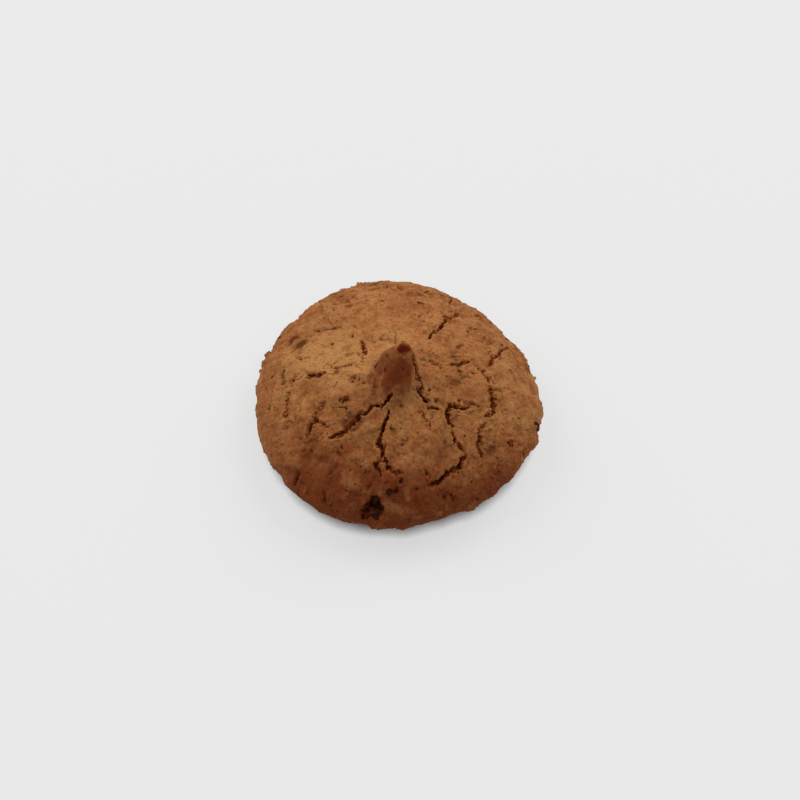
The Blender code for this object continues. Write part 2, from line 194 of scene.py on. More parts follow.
@dataclass(frozen=True)
class Noise:
    """Seeded random fields in space; every size is in millimetres."""

    seed: int

    def chance(self, cell: Array, channel: int = 0) -> Array:
        """Give each whole-number cell its own repeatable number, by mixing its bits.

        Args:
            cell: Cells, three whole numbers each.
            channel: Picks one of many unrelated numbers for the same cell.

        Returns:
            One number from 0 to 1 for each cell.
        """
        index = cell.astype(np.int64).astype(np.uint32)
        x, y, z = (index[..., k] * np.uint32(factor) for k, factor in enumerate(CELL_MIX))
        salt = (self.seed * SEED_MIX + channel * CHANNEL_MIX) & MOST
        mixed = x ^ y ^ z ^ np.uint32(salt)
        for shift, factor in BIT_MIX:
            mixed ^= mixed >> np.uint32(shift)
            mixed *= np.uint32(factor)
        return mixed / float(MOST)

    def soft(self, points: Array, size: float, channel: int = 0) -> Array:
        """Blend random numbers at a lattice's corners by even S curves.

        Args:
            points: Places in space.
            size: The lattice's spacing, about the size of one bump.
            channel: Picks an unrelated field.

        Returns:
            Smooth noise from -1 to 1.
        """
        place = points / size
        corner = np.floor(place)
        part = place - corner
        part = part * part * (3.0 - 2.0 * part)
        total = np.zeros(len(points))
        for bits in range(8):
            step = np.array([bits & 1, bits >> 1 & 1, bits >> 2 & 1])
            weight = np.prod(np.where(step == 1, part, 1.0 - part), axis=-1)
            total += weight * self.chance(corner + step, channel)
        return 2.0 * total - 1.0

    def layers(self, points: Array, sizes: tuple[tuple[float, float], ...], first: int) -> Array:
        """Add up soft noise in several sizes, each times its own height.

        Args:
            points: Places in space.
            sizes: Size and height of each layer.
            first: The field of the first layer; the others take the next ones.

        Returns:
            The sum at each point.
        """
        rows = enumerate(sizes)
        return sum(height * self.soft(points, size, first + k) for k, (size, height) in rows)


@dataclass(frozen=True)
class Crack:
    """One crack of the crust: stops as (azimuth in degrees, reach), width and depth."""

    stops: tuple[tuple[float, float], ...]
    width: float
    depth: float


@dataclass(frozen=True)
class Spot:
    """A round hollow, or with a sink below zero a crumb that stands out."""

    azimuth: float
    reach: float
    radius: float
    sink: float

    def middle(self) -> Array:
        """Give the spot's place on the disc."""
        turn = math.radians(self.azimuth)
        return self.reach * np.array([math.cos(turn), math.sin(turn)])


@dataclass
class BiscuitForm:
    """The piped and baked form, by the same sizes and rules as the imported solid.

    The half section is a dome over a tucked-under side, both superellipses, with a
    cone with a round tip and a flared foot on top. The plan is an ellipse with a few
    low waves, and the top is shifted towards the front as it was piped.
    """

    half_width: float = 23.0
    depth_share: float = 1.03
    dome_height: float = 17.5
    widest_height: float = 5.75
    base_share: float = 0.80
    dome_power: float = 1.5
    tuck_power: float = 1.6
    top_shift: tuple[float, float] = (0.5, -4.0)
    # The middle of the solid's box in plan, seen from the dome's own middle.
    box_middle: tuple[float, float] = (0.568, -1.034)
    plan_waves: tuple[tuple[int, float, float], ...] = (
        (2, 0.012, -0.010),
        (3, 0.015, -0.011),
        (4, 0.004, 0.004),
        (5, 0.000, 0.005),
    )
    peak_height: float = 7.6
    peak_foot: float = 3.8
    peak_tip: float = 0.9
    peak_flare: float = 0.16
    peak_fade: tuple[float, float] = (12.0, 5.0)
    peak_lean: tuple[float, float] = (1.3, 1.1)
    lean_power: float = 1.5
    peak_calm: float = 0.6
    calm_reach: tuple[float, float] = (9.0, 5.0)
    # Bulges of the peak's shoulders: azimuth in degrees, reach, radius and height.
    shoulders: tuple[tuple[float, float, float, float], ...] = (
        (178.0, 3.7, 1.9, 0.95),
        (-125.0, 5.5, 1.8, 0.35),
    )
    # Seeded lumps: how many, radius and most height.
    lump_sizes: tuple[tuple[int, float, float], ...] = ((60, 4.6, 0.5), (420, 1.7, 0.3))
    lump_vary: tuple[float, float] = (0.75, 1.25)
    lump_disc: tuple[float, float] = (0.01, 1.0)
    section_steps: int = 700
    # A short step along the reach, and one round the azimuth in radians.
    probe: float = 0.02
    probe_turn: float = 0.002
    reach: Array = field(init=False)
    radius: Array = field(init=False)
    height: Array = field(init=False)
    rim: float = field(init=False)
    lumps: Array = field(init=False)

    def __post_init__(self) -> None:
        """Work out the half section and the lumps once."""
        turn = np.linspace(0.0, 1.0, self.section_steps) * math.pi / 2
        crown_radius = self.half_width * np.sin(turn) ** (2.0 / self.dome_power)
        rise = (self.dome_height - self.widest_height) * np.cos(turn) ** (2.0 / self.dome_power)
        crown_height = self.widest_height + rise + self.peak_rise(crown_radius)
        tuck = (1.0 - self.base_share) * np.cos(turn) ** (2.0 / self.tuck_power)
        tuck_radius = self.half_width * (self.base_share + tuck)
        tuck_height = self.widest_height * (1.0 - np.sin(turn) ** (2.0 / self.tuck_power))
        self.radius = np.concatenate([crown_radius, tuck_radius[1:]])
        self.height = np.concatenate([crown_height, tuck_height[1:]])
        steps = np.hypot(np.diff(self.radius), np.diff(self.height))
        self.reach = np.concatenate([[0.0], np.cumsum(steps)])
        self.rim = float(self.reach[-1])
        self.lumps = self.lump_table()

    def peak_rise(self, radius: Array) -> Array:
        """Give the peak's height above the dome at a radius: a soft-footed cone.

        The cone's tip is a hyperbola over the radius, and so is its foot where it
        runs out on the dome.

        Args:
            radius: Distances from the middle of the half section.

        Returns:
            The height at each radius.
        """
        down = (np.sqrt(radius**2 + self.peak_tip**2) - self.peak_tip) / self.peak_foot
        cone = 1.0 - down
        top = 0.5 * (1.0 + math.sqrt(1.0 + self.peak_flare**2))
        foot = 0.5 * (cone + np.sqrt(cone**2 + self.peak_flare**2))
        return self.peak_height * foot / top * smooth_step(*self.peak_fade, radius)

    def lump_table(self) -> Array:
        """Scatter the seeded lumps evenly over the disc.

        Returns:
            Disc place x, disc place y, radius and height of each lump.
        """
        random = np.random.default_rng(LUMP_SEED)
        rows = []
        for count, radius, height in self.lump_sizes:
            for _ in range(count):
                azimuth = random.uniform(-math.pi, math.pi)
                reach = self.rim * math.sqrt(random.uniform(*self.lump_disc))
                size = radius * random.uniform(*self.lump_vary)
                rise = height * random.uniform(-1.0, 1.0)
                rows.append((reach * math.cos(azimuth), reach * math.sin(azimuth), size, rise))
        return np.array(rows)

    def lump_rise(self, x: Array, y: Array) -> Array:
        """Add up the lumps, each a bell of its own radius, at points of the disc.

        Args:
            x: Disc places across.
            y: Disc places towards the back.

        Returns:
            The rise of the seeded lumps, calmed near the peak, and the peak's bulges.
        """
        rise = np.zeros_like(x)
        for cx, cy, size, height in self.lumps:
            rise += height * np.exp(-((x - cx) ** 2 + (y - cy) ** 2) / size**2)
        rise *= 1.0 - self.peak_calm * smooth_step(*self.calm_reach, np.hypot(x, y))
        for azimuth, reach, size, height in self.shoulders:
            turn = math.radians(azimuth)
            away = np.hypot(x - reach * math.cos(turn), y - reach * math.sin(turn))
            rise += height * np.exp(-((away / size) ** 2))
        return rise

    def smooth_point(self, azimuth: Array, reach: Array) -> Array:
        """Give the crust before any relief.

        The section's radius is stretched by the plan's waves and turned by the
        azimuth; height shifts it towards the front, and the peak leans on top.

        Args:
            azimuth: Angles round the peak, in radians.
            reach: Ways over the crust from the tip.

        Returns:
            Points in space.
        """
        radius = np.interp(reach, self.reach, self.radius)
        height = np.interp(reach, self.reach, self.height)
        plan = np.ones_like(radius)
        for order, cosine, sine in self.plan_waves:
            plan += cosine * np.cos(order * azimuth) + sine * np.sin(order * azimuth)
        level = np.clip(height / self.dome_height, 0.0, 1.0)
        pull = np.clip(self.peak_rise(radius) / self.peak_height, 0.0, 1.0) ** self.lean_power
        x = radius * plan * np.cos(azimuth) + self.top_shift[0] * level
        y = radius * plan * np.sin(azimuth) * self.depth_share + self.top_shift[1] * level
        x = x + self.peak_lean[0] * pull
        y = y + self.peak_lean[1] * pull
        return np.stack([x, y, height], axis=-1)

    def frame_at(self, x: Array, y: Array) -> tuple[Array, Array]:
        """Give the smooth crust's points and outward normals at points of the disc.

        The normal is the cross product of a short step along the reach and one
        round the azimuth.

        Args:
            x: Disc places across.
            y: Disc places towards the back.

        Returns:
            The points and the unit normals.
        """
        azimuth, reach = np.arctan2(y, x), np.hypot(x, y)
        inner = np.maximum(reach - self.probe, 0.0)
        outer = np.minimum(reach + self.probe, self.rim)
        along = self.smooth_point(azimuth, outer) - self.smooth_point(azimuth, inner)
        around = self.smooth_point(azimuth + self.probe_turn, reach)
        around = around - self.smooth_point(azimuth - self.probe_turn, reach)
        normal = np.cross(along, around)
        length = np.linalg.norm(normal, axis=-1, keepdims=True)
        up = np.array([0.0, 0.0, 1.0])
        normal = np.where(length > TINY, normal / np.maximum(length, TINY), up)
        return self.smooth_point(azimuth, reach), normal


@dataclass
class CrackNetwork:
    """Every crack, hollow and standing crumb of the crust, placed as in the solid.

    The solid's crack lines are broken up once more here, so that their lips run as
    ragged as torn crust does.
    """

    cracks: tuple[Crack, ...] = (
        # The long crack from the foot of the peak down the front, and its side arms.
        Crack(((-104, 7.7), (-111, 9.2), (-115, 10.6)), 1.1, 1.2),
        Crack(
            (
                (-103, 10.7), (-102, 11.9), (-105, 13.1), (-105, 14.3), (-104, 15.5), (-106, 16.4),
                (-100, 17.6), (-101, 19.0),
            ),
            1.0,
            1.5,
        ),
        Crack(((-98, 19.2), (-94, 20.3), (-91, 21.0), (-87, 21.0)), 0.9, 1.1),
        Crack(((-101, 19.1), (-104, 19.9), (-100, 20.8), (-99, 21.5)), 0.8, 1.0),
        Crack(((-103, 23.4), (-104, 24.4)), 0.6, 0.6),
        Crack(
            (
                (-118, 10.2), (-130, 11.0), (-130, 12.7), (-135, 13.8), (-133, 15.3), (-133, 16.4),
                (-134, 17.8), (-138, 19.4),
            ),
            1.0,
            1.2,
        ),
        # The sickle on the right of the front, widest at its foot.
        Crack(
            (
                (-21, 16.9), (-25, 15.8), (-27, 14.3), (-36, 14.7), (-40, 15.5), (-42, 16.8),
            ),
            0.9,
            1.1,
        ),
        Crack(((-44, 17.3), (-48, 18.7), (-48, 19.8), (-47, 21.2)), 0.7, 1.0),
        Crack(
            (
                (-48, 21.9), (-51, 22.0), (-54, 22.7), (-58, 22.7), (-61, 22.8), (-65, 23.1),
                (-67, 23.7), (-73, 23.6),
            ),
            0.9,
            1.6,
        ),
        Crack(((-26, 20.6), (-32, 20.6), (-35, 21.4), (-39, 22.0), (-42, 23.9)), 0.8, 0.9),
        # The bracket on the right flank.
        Crack(
            (
                (-3, 21.5), (-3, 19.8), (-10, 20.4), (-15, 21.0), (-18, 21.1), (-22, 20.0),
            ),
            1.0,
            1.1,
        ),
        Crack(((-18, 17.2), (-18, 18.3)), 0.8, 0.8),
        # Round the foot of the peak.
        Crack(((-20, 2.7), (-25, 4.9), (-28, 6.9), (-28, 8.4), (-40, 8.9), (-40, 10.7)), 0.9, 1.0),
        Crack(((-45, 11.6), (-40, 12.5), (-36, 13.3)), 0.7, 0.7),
        Crack(((-56, 11.9), (-57, 13.3)), 0.6, 0.6),
        # Left flank.
        Crack(((-158, 18.9), (-153, 19.4), (-151, 21.0), (-147, 22.3)), 0.8, 1.0),
        Crack(((-153, 19.4), (-149, 18.9), (-143, 18.3)), 0.6, 0.6),
        Crack(((171, 20.3), (174, 19.2), (174, 18.1), (172, 16.9)), 0.9, 0.9),
        Crack(((165, 16.6), (167, 15.6), (165, 14.2), (160, 12.3)), 0.5, 0.5),
        Crack(((161, 23.0), (163, 21.5), (161, 20.5)), 0.6, 0.6),
        Crack(((-177, 23.0), (-171, 23.6), (-164, 24.6)), 0.5, 0.6),
        Crack(((-175, 26.6), (-171, 27.6)), 0.6, 0.7),
        Crack(((173, 21.5), (178, 22.7)), 0.5, 0.5),
        Crack(((-138, 27.4), (-136, 28.4), (-135, 29.5)), 0.7, 0.7),
        Crack(((-123, 27.1), (-120, 28.6)), 0.6, 0.7),
        # Behind the peak and down the right.
        Crack(((56, 14.6), (57, 15.7), (55, 17.6), (56, 19.5), (57, 21.1), (61, 22.1)), 0.9, 1.1),
        Crack(((57, 21.1), (55, 22.4), (54, 24.7)), 0.7, 0.7),
        Crack(((35, 11.2), (24, 11.6), (14, 12.0)), 0.8, 0.8),
        Crack(((18, 13.2), (17, 15.1), (18, 17.0)), 0.8, 0.8),
        Crack(((12, 18.1), (5, 19.1), (0, 19.6)), 0.5, 0.5),
        Crack(((13, 20.3), (19, 22.4), (22, 24.1), (24, 27.1)), 0.8, 0.8),
        Crack(((129, 14.0), (133, 12.6), (142, 11.2)), 0.9, 1.0),
        Crack(((-28, 25.8), (-26, 26.3), (-25, 27.0)), 0.8, 0.7),
    )
    far_cracks: int = 9
    far_azimuth: tuple[float, float] = (38.0, 158.0)
    far_reach: tuple[float, float] = (25.5, 31.0)
    far_place: tuple[float, float] = (0.2, 0.8)
    far_turn: float = 7.0
    far_length: tuple[float, float] = (1.6, 3.6)
    far_size: tuple[float, float] = (0.6, 0.7)
    spots: tuple[Spot, ...] = (
        # The burst hollow low on the front in three lobes, and two seats of dark nut pieces.
        Spot(-100, 26.6, 1.9, 1.4),
        Spot(-97, 27.8, 1.2, 1.1),
        Spot(-103, 28.7, 1.3, 1.0),
        Spot(-91, 24.1, 0.8, 0.6),
        Spot(-88, 22.3, 0.7, 0.5),
        # A dent left of the peak.
        Spot(-178, 11.4, 1.2, 0.45),
        # Bubble pits.
        Spot(116, 24.7, 0.6, 0.5),
        Spot(149, 24.7, 0.5, 0.4),
        Spot(142, 22.6, 0.5, 0.4),
        Spot(130, 16.1, 0.5, 0.4),
        Spot(109, 12.7, 0.5, 0.4),
        Spot(109, 15.3, 0.5, 0.4),
        Spot(146, 12.1, 0.5, 0.4),
        Spot(77, 23.2, 0.6, 0.4),
        Spot(33, 17.8, 0.5, 0.4),
        Spot(-20, 15.3, 0.6, 0.5),
        Spot(-41, 10.6, 0.6, 0.5),
        Spot(-3, 24.2, 0.6, 0.4),
        Spot(-68, 26.7, 0.6, 0.5),
        Spot(-64, 27.4, 0.5, 0.4),
        Spot(-127, 20.4, 0.5, 0.4),
        Spot(-143, 24.0, 0.5, 0.4),
        Spot(177, 24.4, 0.6, 0.5),
        # Crumbs that stand out: one on the left rim and a nut piece on the right.
        Spot(160, 30.5, 0.7, -0.7),
        Spot(-14, 29.8, 0.7, -0.3),
    )
    torn_beads: tuple[Spot, ...] = (
        # Wider tears along the crack right of the peak, too small for the solid.
        Spot(-35.0, 6.4, 0.5, 0.7),
        Spot(-44.5, 8.3, 0.6, 0.8),
        Spot(-40.6, 10.3, 0.55, 0.7),
    )
    # A hollow or crumb is level outside the first share of its radius and full inside the other.
    spot_edges: tuple[float, float] = (1.1, 0.4)
    loose_crumbs: int = 26
    loose_place: tuple[float, float] = (0.1, 0.9)
    loose_reach: tuple[float, float] = (19.0, 35.0)
    loose_radius: tuple[float, float] = (0.45, 0.85)
    loose_rise: tuple[float, float] = (0.2, 0.45)
    # The solid's crack lines: steps, how far each strays, and how the ends run out.
    crack_step: float = 0.85
    crack_stray: float = 0.18
    end_share: float = 0.12
    end_width: float = 0.45
    uneven: tuple[float, float] = (0.75, 1.2)
    # The torn edge that breaks them up: pinched places, bulges, and the lip beside them.
    torn_pieces: int = 2
    torn_stray: float = 0.17
    pinch_share: float = 0.35
    pinch: tuple[float, float] = (0.5, 0.75)
    bulge: tuple[float, float] = (0.9, 1.35)
    lip_width: float = 0.5
    widen: float = 1.05
    least_half: float = 0.33
    least_depth: float = 0.28
    depth_gain: float = 1.7
    shallow: float = 0.36
    # Across a crack: level outside the first share of its half width, full inside the other.
    groove_edges: tuple[float, float] = (1.3, 0.5)
    groove_margin: float = 1.8
    thinnest: float = 0.06
    # Hairline cracks between the others.
    hair_count: int = 64
    hair_reach: tuple[float, float] = (7.0, 31.0)
    hair_turn: float = 0.65
    hair_stride: tuple[float, float] = (0.6, 1.3)
    hair_tip: float = 0.15
    hair_taper: float = 0.6
    hair_uneven: tuple[float, float] = (0.7, 1.4)
    hair_steps: tuple[int, int] = (3, 9)
    hair_step: float = 0.55
    hair_width: tuple[float, float] = (0.14, 0.30)
    hair_depth: tuple[float, float] = (0.25, 0.55)
    lines: list[Line] = field(init=False)
    all_spots: list[Spot] = field(init=False)

    def __post_init__(self) -> None:
        """Run the cracks and scatter the crumbs once."""
        random = np.random.default_rng(TORN_SEED)
        self.lines = [self.torn(line, random) for line in self.crack_lines()]
        self.lines += self.hair_lines()
        self.all_spots = self.spot_list()

    def ragged(self, stops: tuple[tuple[float, float], ...], random: np.random.Generator) -> Array:
        """Join a crack's stops on the disc by short strayed steps.

        Args:
            stops: The crack's stops.
            random: The seeded draw.

        Returns:
            The middle line's points on the disc.
        """
        turned = [(math.radians(azimuth), reach) for azimuth, reach in stops]
        corners = np.array([(r * math.cos(a), r * math.sin(a)) for a, r in turned])
        line = [corners[0]]
        for start, end in zip(corners[:-1], corners[1:]):
            count = max(1, round(float(np.linalg.norm(end - start)) / self.crack_step))
            along = (end - start) / np.linalg.norm(end - start)
            across = np.array([-along[1], along[0]])
            for k in range(1, count):
                stray = random.uniform(-self.crack_stray, self.crack_stray)
                line.append(start + (end - start) * k / count + across * stray)
            line.append(end)
        return np.array(line)

    def crack_lines(self) -> list[Line]:
        """Run every crack of the solid: the named ones, and the far ones by rule.

        A crack's width and depth fall off towards its ends by an S.

        Returns:
            Line, half widths and depths of each crack.
        """
        random = np.random.default_rng(SEED)
        cracks = list(self.cracks)
        for k in range(self.far_cracks):
            low, high = self.far_azimuth
            place = k + random.uniform(*self.far_place)
            azimuth = low + (high - low) * place / self.far_cracks
            reach = random.uniform(*self.far_reach)
            turn = random.uniform(-self.far_turn, self.far_turn)
            length = random.uniform(*self.far_length)
            stops = ((azimuth, reach), (azimuth + turn, reach + length))
            cracks.append(Crack(stops, *self.far_size))
        lines = []
        for crack in cracks:
            line = self.ragged(crack.stops, random)
            share = np.linspace(0.0, 1.0, len(line))
            full = smooth_step(0.0, self.end_share, np.minimum(share, 1.0 - share))
            taper = self.end_width + (1.0 - self.end_width) * full
            uneven = random.uniform(*self.uneven, len(line))
            lines.append((line, 0.5 * crack.width * taper * uneven, crack.depth * taper))
        return lines

    def torn(self, line: Line, random: np.random.Generator) -> Line:
        """Break each step of a crack into smaller strayed ones, pinched here and there.

        Args:
            line: The crack as in the solid.
            random: The seeded draw.

        Returns:
            The crack as a chain of narrow and wide places.
        """
        points, half, depth = line
        count = (len(points) - 1) * self.torn_pieces + 1
        share = np.linspace(0.0, len(points) - 1.0, count)
        place = np.arange(len(points))
        finer = np.stack([np.interp(share, place, points[:, k]) for k in (0, 1)], axis=-1)
        finer[1:-1] += random.uniform(-self.torn_stray, self.torn_stray, (count - 2, 2))
        pinched = random.uniform(0.0, 1.0, count) < self.pinch_share
        narrow = random.uniform(*self.pinch, count)
        bead = np.where(pinched, narrow, random.uniform(*self.bulge, count))
        wide = np.interp(share, place, half) * bead
        deep = np.interp(share, place, depth)
        floor = self.least_depth * np.minimum(self.depth_gain * deep, 1.0)
        deep = self.shallow * deep + floor
        return finer, np.maximum(self.widen * wide, self.least_half * bead), deep

    def hair_lines(self) -> list[Line]:
        """Let fine cracks wander over the disc by seeded steps that turn a little.

        A hairline is widest half way along, by a power of a sine.

        Returns:
            Line, half widths and depths of each hairline.
        """
        random = np.random.default_rng(HAIR_SEED)
        lines = []
        for _ in range(self.hair_count):
            azimuth = random.uniform(-math.pi, math.pi)
            reach = random.uniform(*self.hair_reach)
            heading = random.uniform(-math.pi, math.pi)
            count = int(random.integers(*self.hair_steps))
            turns = heading + np.cumsum(random.normal(0.0, self.hair_turn, count))
            steps = self.hair_step * random.uniform(*self.hair_stride, count)
            start = np.array([[reach * math.cos(azimuth), reach * math.sin(azimuth)]])
            way = np.stack([steps * np.cos(turns), steps * np.sin(turns)], axis=-1)
            line = np.concatenate([start, start + np.cumsum(way, axis=0)])
            swell = np.sin(np.linspace(self.hair_tip, math.pi - self.hair_tip, len(line)))
            taper = swell**self.hair_taper
            half = 0.5 * random.uniform(*self.hair_width) * taper
            half = half * random.uniform(*self.hair_uneven, len(line))
            lines.append((line, half, random.uniform(*self.hair_depth) * taper))
        return lines

    def spot_list(self) -> list[Spot]:
        """Give the named spots, and the crumbs that the solid scatters by rule.

        Returns:
            Every hollow and standing crumb.
        """
        random = np.random.default_rng(CRUMB_SEED)
        spots = [*self.spots, *self.torn_beads]
        for k in range(self.loose_crumbs):
            place = k + random.uniform(*self.loose_place)
            azimuth = 360.0 * place / self.loose_crumbs - 180.0
            reach = random.uniform(*self.loose_reach)
            radius = random.uniform(*self.loose_radius)
            spots.append(Spot(azimuth, reach, radius, -random.uniform(*self.loose_rise)))
        return spots

    def grooves(self, x: Array, y: Array) -> tuple[Array, Array]:
        """Measure the cracks at points of the disc.

        Across a crack the depth is an S from the lip to a flat floor; the lip is a
        bell that starts at the crack's edge.

        Args:
            x: Disc places across.
            y: Disc places towards the back.

        Returns:
            How far each point sinks, and how near it is to a lip, 0 to 1.
        """
        sunk, lip = np.zeros_like(x), np.zeros_like(x)
        for points, half, depth in self.lines:
            low = points.min(axis=0) - self.groove_margin
            high = points.max(axis=0) + self.groove_margin
            inside = (x > low[0]) & (x < high[0]) & (y > low[1]) & (y < high[1])
            near = np.nonzero(inside)[0]
            px, py = x[near], y[near]
            best, lips = np.zeros(len(near)), np.zeros(len(near))
            for k in range(len(points) - 1):
                step = points[k + 1] - points[k]
                dx, dy = px - points[k][0], py - points[k][1]
                t = np.clip((dx * step[0] + dy * step[1]) / (step @ step), 0.0, 1.0)
                away = np.hypot(dx - t * step[0], dy - t * step[1])
                wide = np.maximum(half[k] + (half[k + 1] - half[k]) * t, self.thinnest)
                deep = depth[k] + (depth[k + 1] - depth[k]) * t
                best = np.maximum(best, deep * smooth_step(*self.groove_edges, away / wide))
                edge = self.groove_edges[0] * wide
                beside = np.exp(-(((away - edge) / self.lip_width) ** 2))
                lips = np.maximum(lips, beside * np.clip(deep, 0.0, 1.0))
            sunk[near] = np.maximum(sunk[near], best)
            lip[near] = np.maximum(lip[near], lips)
        return sunk, lip

    def spot_sink(self, x: Array, y: Array) -> Array:
        """Measure the hollows and standing crumbs: each is an S from its edge inwards.

        Args:
            x: Disc places across.
            y: Disc places towards the back.

        Returns:
            How far each point sinks; below zero it stands out.
        """
        hollow, proud = np.zeros_like(x), np.zeros_like(x)
        for spot in self.all_spots:
            cx, cy = spot.middle()
            away = np.hypot(x - cx, y - cy) / spot.radius
            share = smooth_step(*self.spot_edges, away)
            hollow = np.maximum(hollow, spot.sink * share)
            proud = np.minimum(proud, spot.sink * share)
        return hollow + proud


# How many random fields one kind of grain sets aside for itself.
GRAIN_FIELDS = 8


@dataclass(frozen=True)
class Grain:
    """Round grains or pits, one to a cell at most; a height below zero is a pit."""

    cell: float
    share: float
    radius: float
    height: float
    # A grain's own radius is this share of the largest, and up to that much more by chance.
    least: float = 0.55
    spread: float = 0.45
    flat_top: float = 0.1

    def rise(self, noise: Noise, points: Array, channel: int) -> Array:
        """Work out the grains at points: each is a bell round its own dot.

        Args:
            noise: The seeded field that scatters the dots.
            points: Places in space.
            channel: Picks an unrelated scatter.

        Returns:
            The rise at each point, in millimetres.
        """
        place = points / self.cell
        home = np.floor(place)
        best = np.zeros(len(points))
        for step in np.ndindex(3, 3, 3):
            cell = home + (np.array(step) - 1)
            dot = [noise.chance(cell, channel + axis) for axis in (1, 2, 3)]
            away = self.cell * np.linalg.norm(place - cell - np.stack(dot, axis=-1), axis=-1)
            own = noise.chance(cell, channel + 4)
            size = self.radius * (self.least + self.spread * noise.chance(cell, channel + 5))
            bell = 1.0 - smooth_step(self.flat_top, 1.0, away / size)
            best = np.maximum(best, np.where(own < self.share, bell, 0.0))
        return self.height * best


